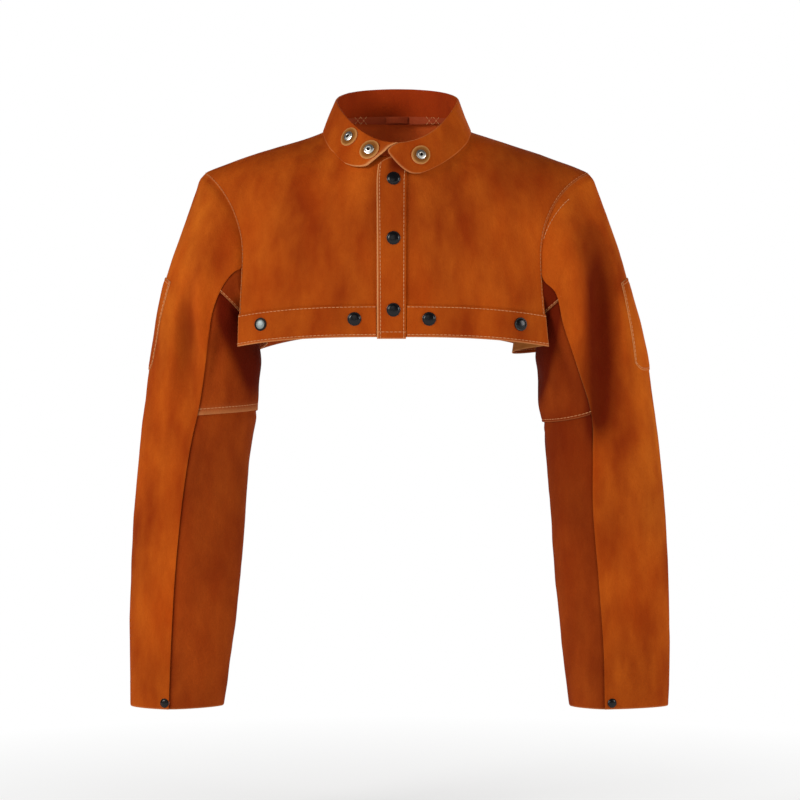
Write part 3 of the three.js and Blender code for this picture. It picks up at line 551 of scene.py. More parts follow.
def placket_sheet(u, v):
    x = mix(PLACKET["free"], PLACKET["sewn"], u)
    corner = PLACKET["corner"] * (1 - np.clip(u, 0, 1)) ** 4
    top = neck_z(FRONT, np.arcsin(x / NECK_HALF)) - corner
    return on_body(FRONT, x, mix(top, hem_z(FRONT, x) - PLACKET["below"], v))


def placket_tone(u, v):
    down = 1 - smooth(THROAT_SHADE["down"], v / THROAT_SHADE["end"])
    return -PLACKET["tone"] - THROAT_SHADE["depth"] * smooth(THROAT_SHADE["across"], u) * down


leather("front_placket", placket_sheet, spaced(PLACKET["sewn"] - PLACKET["free"]),
        spaced(PLACKET["length"]), facing(placket_sheet, (0, -1, 0)), RESTING,
        LAP + DOUBLE, raw=(("start", 1.7, 0.9), ("bottom", 1.0, 0.6), ("top", 1.0, 0.5)),
        seams=(("start", 4.2), ("end", 2.6), ("bottom", 8.0)), shade=placket_tone)

# Hem bands
# Strips of leather folded up along the front hem and sewn down, with one row of thread near each
# long edge.
BAND_WIDTH = 176
BAND_HEIGHT = 37
BAND_TONE = 0.12


def band_sheet(sign):
    start = SEAM + (PLACKET["sewn"] if sign > 0 else -PLACKET["free"])

    def sheet(u, v):
        x = mix(start, armhole_x(FRONT["hem_side"]), u)
        z = hem_z(FRONT, x) + (1 - v) * BAND_HEIGHT
        return on_body(FRONT, sign * mix(start, armhole_x(z), u), z)
    return sheet


def band_tone(u, v):
    return np.full_like(u, -BAND_TONE)


for name, sign in SIDES:
    surface = band_sheet(sign)
    look = facing(surface, (0, -1, 0))
    leather(f"hem_band_{name}", surface, spaced(BAND_WIDTH), spaced(BAND_HEIGHT), look, RESTING,
            LAP + LEATHER, raw=(("bottom", 1.2, 0.55), ("end", 1.1, 0.45)),
            seams=(("top", 2.1), ("bottom", 3.0)), shade=band_tone)

# Sleeves
# Each sleeve is sewn from the same leather: an outer half from shoulder to cuff, and an under half in
# three pieces for the armpit, the upper arm and the forearm. The outer half laps over the under half
# along both seams.

# Each row is a section across the sleeve. A station is the number of a row, and a turn goes once round
# the section from the front seam, by the outer side, the back seam and the inner side
ARM_COLUMNS = ("outer_x", "outer_z", "inner_x", "inner_z", "mid_y", "front", "back", "bow", "crease",
               "seam_left", "seam_right")
ARM_ROWS = np.array([
    (230, -41, 160, -216, 3, 66, 66, 14, 0.0, 0.6, 0.6),
    (238.5, -56, 164, -222, 3, 72, 70, 10, 0.0, 0.68, 0.61),
    (258, -109, 166, -232, 2, 75, 72, 5, 0.05, 0.667, 0.6),
    (274, -158, 166, -246, 1, 74, 72, 0, 0.1, 0.695, 0.583),
    (287, -207, 165.5, -264, 0, 71, 70, 0, 0.15, 0.669, 0.57),
    (298, -262, 166, -290, -1, 66, 67, 0, 0.2, 0.625, 0.555),
    (305.5, -320, 168.5, -322, -3, 62, 64, 0, 0.25, 0.577, 0.53),
    (311.5, -372, 176.5, -373, -7, 59, 60, 0, 0.3, 0.605, 0.49),
    (317, -440, 182, -440, -13, 56, 55, 0, 0.35, 0.645, 0.455),
    (320.5, -520, 187.5, -520, -19, 52, 50, 0, 0.35, 0.64, 0.43),
    (321, -605, 196.5, -605, -25, 48, 46, 0, 0.35, 0.645, 0.427),
    (319.5, -674.5, 205.5, -674.5, -29, 45, 43, 0, 0.3, 0.68, 0.432),
])
CUFF = len(ARM_ROWS) - 1
# Cross seams: station, how far below it they lie at the lengthwise seams and inside the arm, and how
# late they turn towards the lengthwise seams
CROSS_SEAMS = dict(
    gusset=dict(station=2, left=(0.28, -0.25, 1), right=(0.2, -0.3, 1)),
    elbow=dict(station=6, left=(0.15, 0.36, 4), right=(0.19, 0.04, 1)),
)
QUARTERS = 4  # of a section, each with its own curve
INSIDE_TURN = 0.75  # the middle of the inner side
BACK_SEAM = 0.55
ARMHOLE_FADE = 2.2  # station from which a section is free of the armhole's shape
FOLD_TURN = 410  # about how long a turn is, and a station
FOLD_STATION = 58

# Folds: station and turn of both ends, half width, depth (below 0 is a valley), and the shares of the
# length over which it rises and falls
FOLDS = dict(
    left=(
        ((0.6, 0.16), (7.15, -0.003), 23, -16, 0.4, 0.16),
        ((0.6, 0.09), (5.6, -0.005), 10, 6, 0.45, 0.45),
        ((3.0, 0.94), (6.8, 0.97), 11, -3, 0.5, 0.5),
        ((3.8, 0.78), (6.1, 0.78), 30, -5, 0.5, 0.5),
        ((4.4, 0.56), (7.2, 0.82), 18, -8, 0.5, 0.5),
    ),
    right=(
        ((0.6, 0.09), (5.4, -0.002), 10, 6, 0.45, 0.45),
        ((2.2, 0.1), (6.4, 0.05), 18, -8.5, 0.5, 0.5),
        ((2.2, 0.95), (6.2, 0.98), 12, -4, 0.5, 0.5),
        ((2.8, 0.78), (5.4, 0.78), 30, 3.5, 0.5, 0.5),
        ((4.6, 0.52), (6.6, 0.68), 16, -6, 0.5, 0.5),
    ),
)


def section(station, column):
    """A column of the sleeve table on a smooth curve through its rows."""
    rows = ARM_ROWS[:, ARM_COLUMNS.index(column)]
    padded = np.concatenate([[2 * rows[0] - rows[1]], rows, [2 * rows[-1] - rows[-2]]])
    row = np.clip(np.floor(station).astype(int), 0, CUFF - 1)
    t = station - row
    before, here, after, beyond = (padded[row + i] for i in range(4))
    leave = (after - before) / 2
    arrive = (beyond - here) / 2
    bend = 3 * (after - here) - 2 * leave - arrive
    twist = 2 * (here - after) + leave + arrive
    return here + leave * t + bend * t ** 2 + twist * t ** 3


def turn_on_section(arm, station, turn):
    """Which half a turn lies on, its place from outer (0) to inner end (1), and its share of depth."""
    wrapped = turn - np.floor(turn)
    quarter = np.minimum(QUARTERS - 1, np.floor(wrapped * QUARTERS))
    local = wrapped * QUARTERS - quarter
    angle = np.where(quarter % 2 == 0, local, 1 - local) * math.pi / 2
    ahead = (quarter == 0) | (quarter == 3)
    seam = np.where(ahead, section(station, f"seam_{arm}"), BACK_SEAM)
    crease = np.where(ahead, section(station, "crease"), 0)
    share = np.where(quarter < 2, seam * (1 - np.sin(angle)), seam + (1 - seam) * np.sin(angle))
    return ahead, share, mix(np.cos(angle), 1 - np.sin(angle), crease)


def section_point(station, ahead, share, depth):
    outer = stack(section(station, "outer_x"), section(station, "outer_z"))
    inner = stack(section(station, "inner_x"), section(station, "inner_z"))
    line = outer - inner
    line = line / np.linalg.norm(line, axis=-1, keepdims=True)
    flat = mix(outer, inner, np.asarray(share)[..., None])
    bow = section(station, "bow") * depth
    deep = np.where(ahead, -section(station, "front"), section(station, "back")) * depth
    return stack(flat[..., 0] - line[..., 1] * bow, section(station, "mid_y") + deep,
                 flat[..., 1] + line[..., 0] * bow)


TUCK = 0.4  # how far the sleeve runs in behind the panel for each station above its first


def armhole_rim(ahead, share, inward):
    """The armhole: it follows the panel's edge from the shoulder down, then turns under the arm."""
    under = LEATHER + LAP
    down = np.minimum(share, RIM_SHARE) / RIM_SHARE * RIM_LOW
    front = behind_panel(FRONT, 1 - inward, down, under)
    back = behind_panel(BACK, 1 - inward, down, under)
    edge = np.where(np.asarray(ahead)[..., None], front, back)
    q = np.clip((share - RIM_SHARE) / (1 - RIM_SHARE), 0, 1)
    turned = stack(mix(edge[..., 0], ARMPIT_X, q),
                   mix(ARM_ROWS[0, ARM_COLUMNS.index("mid_y")], edge[..., 1], np.sqrt(1 - q * q)),
                   mix(edge[..., 2], ARMPIT_Z, q))
    return np.where((share > RIM_SHARE)[..., None], turned, edge)


FOLD_WIDTHS = (1.2, 0.55)  # shares of its half width that a fold has where it starts and ends


def fold_depth(arm, station, turn):
    depth = np.zeros(np.broadcast(station, turn).shape)
    for (from_t, from_turn), (to_t, to_turn), half, height, rise, fall in FOLDS[arm]:
        run = np.array([(to_turn - from_turn) * FOLD_TURN, (to_t - from_t) * FOLD_STATION])
        for wrap in (-1, 0, 1):
            x = (turn + wrap - from_turn) * FOLD_TURN
            y = (station - from_t) * FOLD_STATION
            along = (x * run[0] + y * run[1]) / (run @ run)
            off = (x * run[1] - y * run[0]) / math.hypot(*run)
            strength = smooth((0, rise), along) * smooth((0, fall), 1 - along)
            width = half * mix(*FOLD_WIDTHS, np.clip(along, 0, 1))
            depth = depth + height * strength * bell(off, width)
    return depth


def sleeve_sheet(arm):
    sign = 1 if arm == "left" else -1

    def sheet(turn, station):
        turn, station = np.broadcast_arrays(np.asarray(turn, float), np.asarray(station, float))
        t = np.clip(station, 0, CUFF)
        point = section_point(t, *turn_on_section(arm, t, turn))
        hold = 1 - smooth((0, ARMHOLE_FADE), t)
        ahead, share, depth = turn_on_section(arm, np.zeros_like(t), turn)
        rim = armhole_rim(ahead, share, np.maximum(0, -station) * TUCK)
        point = point + (rim - section_point(np.zeros_like(t), ahead, share, depth)) * hold[..., None]
        outward = point - section_point(t, True, np.full_like(t, 0.5), np.zeros_like(t))
        outward = outward / np.linalg.norm(outward, axis=-1, keepdims=True)
        return flip(point + outward * fold_depth(arm, t, turn)[..., None], sign)
    return sheet


SLEEVE_TOP = -0.1  # station of the outer half's top edge, in behind the panels
OUTER_WIDTH = 200
UNDER_WIDTH = 190
LAPPED = 0.01  # turn by which the under half runs in below the outer half
COVERED = dict(turn=LAPPED * 300, station=4.0)  # about how long that is, and the same at a cross seam
WELT = dict(rise=0.5, width=3.5, sink=-1.8, fall=5.0)
EASE = dict(rise=1.2, below=17, width=10)  # fullness of the sleeve just below the armhole
# The under sleeve is coloured darker than the outer half: partly the hide's own tone, partly painted shade
# of the side that faces the body
under_suede = suede("rust_split_leather_of_the_under_sleeve", "#722506", "#993A0B", "#B25115")
UNDER_SKINS = (under_suede, flesh_suede, cut_edge)
SLEEVES = {name: sleeve_sheet(name) for name, _ in SIDES}
SLEEVE_LOOK = {name: facing(SLEEVES[name], (sign, 0, 0), 0.25, 8.0) for name, sign in SIDES}


def welt(distance):
    """Rise of an upper edge along a lapped seam."""
    return WELT["rise"] * bell(distance, WELT["width"])


def tucked(distance, covered):
    """Sinking of an under edge that runs in below its neighbour by the covered length."""
    return WELT["sink"] * bell(np.maximum(0, distance - covered), WELT["fall"])


def eased(distance):
    """Fullness of a sleeve at a distance from its top edge."""
    return EASE["rise"] * bell(distance - EASE["below"], EASE["width"])


def outer_lift(u, v, reach):
    return welt(reach["start"]) + welt(reach["end"]) + eased(reach["top"])


def under_lift(top_tucked, bottom_raised):
    """Lift of an under piece: its sides tucked in, and its cross seams as they are lapped."""
    def lift(u, v, reach):
        sunk = np.minimum(tucked(reach["start"], COVERED["turn"]), tucked(reach["end"], COVERED["turn"]))
        if top_tucked:
            sunk = np.minimum(sunk, tucked(reach["top"], COVERED["station"]))
        return sunk + welt(reach["bottom"]) if bottom_raised else sunk
    return lift


FOLD_SHADE_DEPTH = 12  # depth of a fold whose painted shade is full
# Painted shade under the arm: the stations and turns of its edge, its softness, the stations where it
# fades, and its strength on each gusset
ARMPIT = dict(stations=(1, 5.5), turns=(1.13, 0.875), soft=0.065, fade=(5.0, 6.2),
              gusset=dict(left=1.0, right=0.35))
FOREARM = dict(start=(5.9, 6.4), fade=(6.6, 12.0), left=0.5, right=0.12)  # shade below the elbow seam
UPPER_ARM = dict(left=0.32, right=0.02)  # shade of the under sleeve above it
# Painted light on the outside of the upper sleeve: the turns where it sets in at the front and fades at the
# back, the stations where it sets in, its strength, and where it fades on each arm
SLEEVE_LIGHT = dict(front=(0.08, 0.15), back=(0.38, 0.48), start=(0.2, 0.7), light=0.8,
            left=(7.4, 9.6), right=(3.4, 6.4))
UNLIT_FOLD_DEPTH = 5  # depth of a fold that keeps the painted light off it
# Painted shade along the under sleeve's edges where they run in below the outer half: edge, width and
# strength
SEAM_DIM = (("start", 7, 0.5), ("end", 6.5, 1.0))
ELBOW_STITCH = dict(left=3.0, right=7.5)
ELBOW_RAW = dict(left=("bottom", 0.9, 0.2), right=("bottom", 6.0, 0.36))


def cross_seam(arm, seam, off=0.0):
    """Station of a seam across the under sleeve for each turn."""
    edge, inside, curve = CROSS_SEAMS[seam][arm]
    return lambda turn: (CROSS_SEAMS[seam]["station"] + off
                         + mix(inside, edge, (np.abs(turn - INSIDE_TURN) * QUARTERS) ** curve))


def cut_sheet(arm, above, below):
    return lambda turn, share: SLEEVES[arm](turn, mix(above(turn), below(turn), share))


def armpit(turn, station):
    """Painted shade on the under sleeve where it lies against the body."""
    first, last = ARMPIT["stations"]
    edge = mix(*ARMPIT["turns"], np.clip((station - first) / (last - first), 0, 1))
    inside = 1 - smooth((0, 1), (turn - edge) / ARMPIT["soft"] + 1)
    return -inside * (1 - smooth(ARMPIT["fade"], station))


def paint_light_on_sleeve(arm, turn, station):
    """Painted light on the outside of the upper arm."""
    across = smooth(SLEEVE_LIGHT["front"], turn) * (1 - smooth(SLEEVE_LIGHT["back"], turn))
    along = smooth(SLEEVE_LIGHT["start"], station) * (1 - smooth(SLEEVE_LIGHT[arm], station))
    return SLEEVE_LIGHT["light"] * across * along


# Tone of a sleeve piece: painted shade down in folds, under the arm and over the under sleeve, and painted
# light on the outside of the upper arm
def cut_tone(arm, above, below, shaded):
    def tone(turn, share):
        station = mix(above(turn), below(turn), share)
        elbow = smooth(FOREARM["start"], station)
        dark = mix(UPPER_ARM[arm], FOREARM[arm] * (1 - smooth(FOREARM["fade"], station)), elbow)
        fold = fold_depth(arm, station, turn)
        light = paint_light_on_sleeve(arm, turn, station) * np.clip(1 + fold / UNLIT_FOLD_DEPTH, 0, 1)
        crease = np.minimum(fold, 0) / FOLD_SHADE_DEPTH
        return crease + light + shaded * (armpit(turn, station) - dark)
    return tone


def level(station):
    return lambda turn: np.full_like(turn, station, dtype=float)


reach_under = COVERED["station"] / FOLD_STATION
outer_turns = mix(0, 0.5, spaced(OUTER_WIDTH))
under_turns = mix(0.5 - LAPPED, 1 + LAPPED, spaced(UNDER_WIDTH))
for name, _ in SIDES:
    # Each piece: its turns, length, upper and lower edge, slot, lift, pale edge and stitched line
    cuts = (
        ("sleeve_outer", outer_turns, 670, level(SLEEVE_TOP), level(CUFF), "rust_suede", outer_lift,
         CUT_HEM, ()),
        ("underarm_gusset", under_turns, 70, level(0), cross_seam(name, "gusset"), "dark_suede",
         under_lift(False, True), (("bottom", 1.0, 0.35),), (("bottom", 2.1),)),
        ("sleeve_under_upper", under_turns, 150, cross_seam(name, "gusset", -reach_under),
         cross_seam(name, "elbow"), "rust_suede", under_lift(True, True), (ELBOW_RAW[name],),
         (("bottom", ELBOW_STITCH[name]),)),
        ("sleeve_under_fore", under_turns, 350, cross_seam(name, "elbow", -reach_under), level(CUFF),
         "rust_suede", under_lift(True, False), CUT_HEM, ()),
    )
    for node, turns, length, above, below, slot, lift, raw, seams in cuts:
        under = node != "sleeve_outer"
        shaded = ARMPIT["gusset"][name] if node == "underarm_gusset" else under
        leather(f"{node}_{name}", cut_sheet(name, above, below), turns, spaced(length), SLEEVE_LOOK[name],
                skins=UNDER_SKINS if under else RUST_SKINS, raw=raw,
                dim=SEAM_DIM if under else (), seams=seams, lift=lift,
                shade=cut_tone(name, above, below, shaded))

# The second row of thread on the left sleeve, which runs into the armhole seam lower down
SECOND_ROW = dict(turns=(0.138, 0.054), stations=(0.61, 0.2), points=40)
left_sleeve = SLEEVES["left"]
row_turns = np.linspace(*SECOND_ROW["turns"], SECOND_ROW["points"])
row_stations = np.linspace(*SECOND_ROW["stations"], SECOND_ROW["points"])
row_top = left_sleeve(row_turns, np.full_like(row_turns, SLEEVE_TOP))
row_below = np.linalg.norm(left_sleeve(row_turns, row_stations) - row_top, axis=-1)
stitches("sleeve_outer_left", left_sleeve, row_turns, row_stations, SLEEVE_LOOK["left"],
         THREAD / 4 + eased(row_below))

# Arm pockets
# Patch pockets of the same leather on the outside of the upper sleeves, open at the top, rounded at
# the bottom and stitched along their edges.
POCKET = dict(width=64, length=108, left=(0.175, 0.142), right=(0.167, 0.19), back=0.315, top=3.15,
              bottom=5.24, corner=0.2, round=6, gape=0.3, mouth=0.3, thick=1.2, dark=1.2, edge=0.035)
POCKET_RAW = (("start", 1.1, 0.6), ("end", 1.1, 0.6), ("top", 1.0, 0.5), ("bottom", 1.0, 0.5))
POCKET_ROWS = (("start", 2.6), ("end", 2.6), ("bottom", 2.6), ("top", 3.9))


def pocket_turn(arm, u, v):
    return mix(mix(*POCKET[arm], v), POCKET["back"], u)


def pocket_sheet(arm):
    def sheet(u, v):
        end = POCKET["bottom"] - POCKET["corner"] * np.abs(2 * u - 1) ** POCKET["round"]
        return SLEEVES[arm](pocket_turn(arm, u, v), mix(POCKET["top"], end, v))
    return sheet


def pocket_tone(arm):
    """Painted light as on the sleeve around it, and painted shade along its mouth."""
    def tone(u, v):
        mouth = POCKET["dark"] * (1 - smooth((0, POCKET["edge"]), v))
        return paint_light_on_sleeve(arm, pocket_turn(arm, u, v), mix(POCKET["top"], POCKET["bottom"], v)) - mouth
    return tone


def pocket_lift(u, v, reach):
    return POCKET["gape"] * np.sin(math.pi * u) * (1 - smooth((0, POCKET["mouth"]), v))


for name, sign in SIDES:
    surface = pocket_sheet(name)
    look = facing(surface, (sign, 0, 0))
    leather(f"arm_pocket_{name}", surface, spaced(POCKET["width"]), spaced(POCKET["length"]), look,
            RESTING, POCKET["thick"], raw=POCKET_RAW, seams=POCKET_ROWS, lift=pocket_lift,
            shade=pocket_tone(name))

# Collar
# A stand collar of doubled leather that leans in towards the neck. Its two ends meet at the throat and
# part below, where they show pale raw edges, and its base laps over the fronts.
COLLAR_HALF = 88
COLLAR_FRONT_Z = -55
COLLAR_BACK_Z = 28
COLLAR_LIFT = (2.7, 0.8)
COLLAR_STAND_OFF = dict(front=7.5, back=5)
RIM = dict(half=73, side_y=-5, side_z=47, front_y=-97, front_z=-13, back_y=72, back_z=70, curve=1.5,
           back_curve=0.9)
END_HEIGHTS = (0, 0.06, 0.2, 0.4, 0.57, 0.75, 0.89, 1)
END_X = dict(left=(33, 22, 14, 4.8, -2.3, -9.6, -5.7, 3.4),
             right=(-57, -45, -31.5, -24.5, -18.5, -11.4, -7.5, 1.6))
END_SOFT = 8  # rows of a fine table over which the corners of the ends are rounded
END_ROWS = np.linspace(0, 1, 161)
COLLAR_SKEW = 0.2
COLLAR_UNDER = 0.07  # how far the base runs in below the shoulder seams


def collar_base(angle):
    ahead = np.cos(angle)
    x = COLLAR_HALF * np.sin(angle)
    reach = np.abs(ahead) ** NECK_CURVE
    side_z = float(shoulder_z(np.array(COLLAR_HALF)))
    z = mix(side_z, np.where(ahead > 0, COLLAR_FRONT_Z, COLLAR_BACK_Z), reach)
    off = np.where(ahead > 0, -COLLAR_STAND_OFF["front"], COLLAR_STAND_OFF["back"]) * np.sqrt(reach)
    point = np.where((ahead > 0)[..., None], on_body(FRONT, x, z), on_body(BACK, x, z))
    return point + stack(0, off, mix(*COLLAR_LIFT, reach))


def collar_rim(angle):
    ahead = np.cos(angle)
    front = ahead > 0
    reach = np.abs(ahead) ** np.where(front, RIM["curve"], RIM["back_curve"])
    y = mix(RIM["side_y"], np.where(front, RIM["front_y"], RIM["back_y"]), np.abs(ahead))
    z = mix(RIM["side_z"], np.where(front, RIM["front_z"], RIM["back_z"]), reach)
    return stack(RIM["half"] * np.sin(angle), y, z)


def collar_at(angle, height):
    return mix(collar_base(angle), collar_rim(angle), np.asarray(height)[..., None])


def rounded_end(side):
    """Place of a collar's end for each fine height, with the table's corners rounded."""
    line = np.interp(END_ROWS, END_HEIGHTS, END_X[side])
    before = 2 * line[0] - line[END_SOFT:0:-1]
    beyond = 2 * line[-1] - line[-2:-END_SOFT - 2:-1]
    width = 2 * END_SOFT + 1
    return np.convolve(np.concatenate([before, line, beyond]), np.ones(width) / width, "valid")


COLLAR_ENDS = {side: rounded_end(side) for side, _ in SIDES}


def collar_end(side, height):
    clamped = np.clip(height, 0, 1)
    x = np.interp(clamped, END_ROWS, COLLAR_ENDS[side])
    return np.arcsin(x / mix(COLLAR_HALF, RIM["half"], clamped))


def collar_sheet(along, down):
    left_rim = collar_end("left", np.array(1.0))
    right_rim = collar_end("right", np.array(1.0))
    middle = mix(left_rim, 2 * math.pi + right_rim, along)
    height = 1 - down * (1 + COLLAR_UNDER * np.sin(middle) ** 4)
    left = (collar_end("left", height) - left_rim) * (1 - smooth((0, COLLAR_SKEW), along))
    right = (collar_end("right", height) - right_rim) * smooth((1 - COLLAR_SKEW, 1), along)
    return collar_at(middle + left + right, height)


COLLAR_LENGTH = 540
COLLAR_HEIGHT = 62
THROAT_RAW = 0.6 * smooth((0.16, 0.02), spaced(COLLAR_LENGTH))  # the rim is pale only near its left end
leather("collar", collar_sheet, spaced(COLLAR_LENGTH), spaced(COLLAR_HEIGHT),
        facing(collar_sheet, (0, 1, 0)), -DOUBLE, 0, (rust_suede, flesh_suede, rust_suede),
        raw=(("end", 2.4, 0.85), ("start", 1.4, 0.45), ("top", 1.2, THROAT_RAW), ("bottom", 1.0, 0.25)))

# Neck tape and hanger loop
# A leather tape tacked inside the back neckline with crossed stitches, and a short loop over its
# middle to hang the jacket by.
TAPE = 1.0
TAPE_ROWS = 7
NECK_TAPE = dict(turn=0.85, below=6, above=4, taper=0.8, inside=3.8, bow=0)
HANGER = dict(turn=0.17, below=5, above=3, taper=0, inside=5.8, bow=6)


def strip_sheet(strip):
    def sheet(u, v):
        angle = mix(-strip["turn"], strip["turn"], u)
        edge = on_body(BACK, NECK_HALF * np.sin(angle), neck_z(BACK, angle))
        inward = strip["inside"] + strip["bow"] * np.sin(math.pi * u)
        below = strip["below"] * (1 - strip["taper"] * (2 * u - 1) ** 2)
        return edge - stack(np.sin(angle) * inward, np.cos(angle) * inward, -mix(strip["above"], -below, v))
    return sheet


tape_suede = suede("neck_tape_leather", "#8A3418", "#9C4022", "#AA4C2C")
STRIPS = (("neck_tape", NECK_TAPE, (150, 11)), ("hanger_loop", HANGER, (36, 10)))
for node, strip, cut_size in STRIPS:
    surface = strip_sheet(strip)
    look = facing(surface, (0, -1, 0))
    leather(node, surface, spaced(cut_size[0]), np.linspace(0, 1, TAPE_ROWS), look, 0, TAPE,
            (tape_suede, tape_suede, tape_suede), flat=cut_size)

# Crossed stitches that tack the tape down near both ends: their middles along the tape and half sizes
TACKS = dict(middles=(0.13, 0.19, 0.8, 0.87), along=0.022, down=0.42)
tape = strip_sheet(NECK_TAPE)
tape_look = facing(tape, (0, -1, 0))
tack = np.linspace(-1, 1, 8)
for middle in TACKS["middles"]:
    for way in (1, -1):
        stitches("neck_tape", tape, middle + TACKS["along"] * way * tack, 0.5 + TACKS["down"] * tack,
                 tape_look, TAPE)

# Snaps
# Press studs of lacquered or nickel-plated brass, riveted through the leather with a plain disc
# behind it. Those on the collar are sockets that sit on round washers of tan leather.
def metal(name, tints, rough, metallic, specular):
    """Plated or lacquered pressed brass: smooth, with fine rub marks that vary the gloss."""
    rub_size = 0.0012
    material, tree, place = new_material(name)
    rub = add_node(tree, "ShaderNodeTexNoise", {"Vector": place, "Scale": 1 / rub_size, "Detail": 3.0})
    gloss = add_node(tree, "ShaderNodeMapRange", {
        "Value": rub.outputs[0], "To Min": 0.7 * rough, "To Max": 1.4 * rough}).outputs[0]
    tint = add_node(tree, "ShaderNodeMix", {
        0: rub.outputs[0], 6: colour(tints[0]), 7: colour(tints[1])}, data_type="RGBA")
    shader = add_node(tree, "ShaderNodeBsdfPrincipled", {
        "Base Color": tint.outputs[2], "Roughness": gloss, "Metallic": metallic,
        "Specular IOR Level": specular})
    add_node(tree, "ShaderNodeOutputMaterial", {"Surface": shader.outputs[0]})
    return material


black_lacquer = metal("black_lacquered_brass", ("#050406", "#0C0B0E"), 0.24, 0.0, 0.3)
nickel = metal("nickel_plated_brass", ("#B9B6AE", "#D8D6D0"), 0.3, 1.0, 0.5)
dull_nickel = metal("rubbed_nickel_plate", ("#7E8684", "#949C9A"), 0.5, 0.8, 0.5)
# Painted shade: dark metal in the ring round the pale cap's dome and in the socket's hole, where shade
# falls
gap_shade_metal = metal("brass_painted_dark_as_gap_shade", ("#1B1512", "#2A211B"), 0.5, 0.6, 0.3)
tan_suede = suede("tan_split_leather", "#6E3E18", "#84501F", "#98602A", "#D89858")

# Profiles as radius and height above the leather, from the middle of the top to the foot
CAP = ((0, 2.8), (2.4, 2.74), (4.5, 2.45), (5.9, 1.95), (6.5, 1.5), (6.7, 1.3), (7.0, 1.35), (7.5, 1.25),
       (7.9, 0.9), (7.9, 0.3), (7.5, 0.0))
SMALL_SIZE = (0.68, 0.78)  # radius and height of a cuff's cap beside the others
SMALL = tuple((SMALL_SIZE[0] * radius, SMALL_SIZE[1] * height) for radius, height in CAP)
PALE_CAP = ((0, 2.3), (2.4, 2.2), (4.3, 1.8), (5.5, 1.1), (5.8, 0.7), (6.3, 0.65), (7.0, 1.1), (7.6, 0.9),
            (7.8, 0.2), (7.4, 0.0))
SOCKET = ((0, 0.35), (1.3, 0.35), (1.5, 0.5), (1.9, 1.6), (2.5, 1.9), (3.5, 1.8), (4.3, 1.2), (5.0, 0.9),
          (5.7, 0.75), (5.9, 0.4), (5.7, 0.0))
BACK_DISC = ((0, 1.2), (4.4, 1.2), (5.0, 1.0), (5.2, 0.6), (5.0, 0.0))
ROUND = 36
METAL_SHARP = 30  # degrees


def turned(name, profile, seat, way, foot, finishes, numbers):
    """A round piece turned about a line: profile from its top to its foot, closed at the bottom. numbers
    give the finish of each ring of faces."""
    angles = np.linspace(0, 2 * math.pi, ROUND, endpoint=False)
    side = np.cross(way, (0, 0, 1))
    side = side / np.linalg.norm(side)
    wheel = np.outer(np.cos(angles), side) + np.outer(np.sin(angles), np.cross(way, side))
    rings = [seat + way * (foot + height) + radius * wheel for radius, height in profile[1:]]
    points = np.concatenate([[seat + way * (foot + profile[0][1])], *rings, [seat + way * foot]]) * MM
    here = 1 + np.arange(len(rings) * ROUND).reshape(-1, ROUND)
    beside = np.roll(here, -1, axis=1)
    last = np.full(ROUND, len(points) - 1)
    top = np.stack([0 * last, here[0], beside[0]], axis=-1)
    wall = quads(here[:-1], here[1:], beside[1:], beside[:-1])
    bottom = np.stack([last, beside[-1], here[-1]], axis=-1)
    faces = top.tolist() + wall.tolist() + bottom.tolist()
    return solid(name, points, faces, finishes, np.repeat([*numbers, 0], ROUND), METAL_SHARP)


def front_at(x, z):
    return on_body(FRONT, x, z)


FRONT_LOOK = facing(front_at, (0, -1, 0), 60.0, -150.0)
COLLAR_LOOK = facing(collar_at, (0, 1, 0), math.pi)
# What a snap sits on: surface, which way that looks, and the leather above and below the surface
SEATS = dict(
    placket=(front_at, FRONT_LOOK, LAP + DOUBLE, LEATHER),
    band=(front_at, FRONT_LOOK, LAP + LEATHER, LEATHER),
    left=(SLEEVES["left"], SLEEVE_LOOK["left"], 0.0, LEATHER),
    right=(SLEEVES["right"], SLEEVE_LOOK["right"], 0.0, LEATHER),
    collar=(collar_at, COLLAR_LOOK, 2 * LAP + LEATHER, DOUBLE),
)
# Each snap: its seat, its place on that and its kind
SNAPS = (
    ("placket_snap_1", "placket", 2, -56, "cap"),
    ("placket_snap_2", "placket", 2, -125, "cap"),
    ("placket_snap_3", "placket", 2, -208, "cap"),
    ("hem_snap_left_1", "band", 43, -218.5, "cap"),
    ("hem_snap_left_2", "band", 149, -224, "cap"),
    ("hem_snap_right_1", "band", -43, -218.5, "cap"),
    ("hem_snap_right_2", "band", -152, -224, "pale_cap"),
    ("cuff_snap_left", "left", 0.016, 10.89, "small"),
    ("cuff_snap_right", "right", 0.016, 10.89, "small"),
    ("collar_snap_1", "collar", math.radians(-45), 0.64, "socket"),
    ("collar_snap_2", "collar", math.radians(-22.5), 0.64, "socket"),
    ("collar_snap_3", "collar", math.radians(22), 0.5, "socket"),
)
# Each kind: profile, finishes, which finish each ring of its faces has, and the record's slot
SNAP_KINDS = dict(
    cap=(CAP, (black_lacquer,), [0] * 10, "black_metal"),
    small=(SMALL, (black_lacquer,), [0] * 10, "black_metal"),
    pale_cap=(PALE_CAP, (dull_nickel, gap_shade_metal), [0] * 3 + [1] * 6, "nickel"),
    socket=(SOCKET, (nickel, gap_shade_metal), [1] * 3 + [0] * 7, "nickel"),
)
WASHER_RADIUS = 11.5
WASHER_HOLE = 3.0
WASHER_TURNS = np.linspace(0, 1, 72, endpoint=False)
WASHER_RINGS = np.array([0, 0.06, 0.15, 0.35, 0.55, 0.68, 0.76, 0.84, 0.92, 0.97, 1])

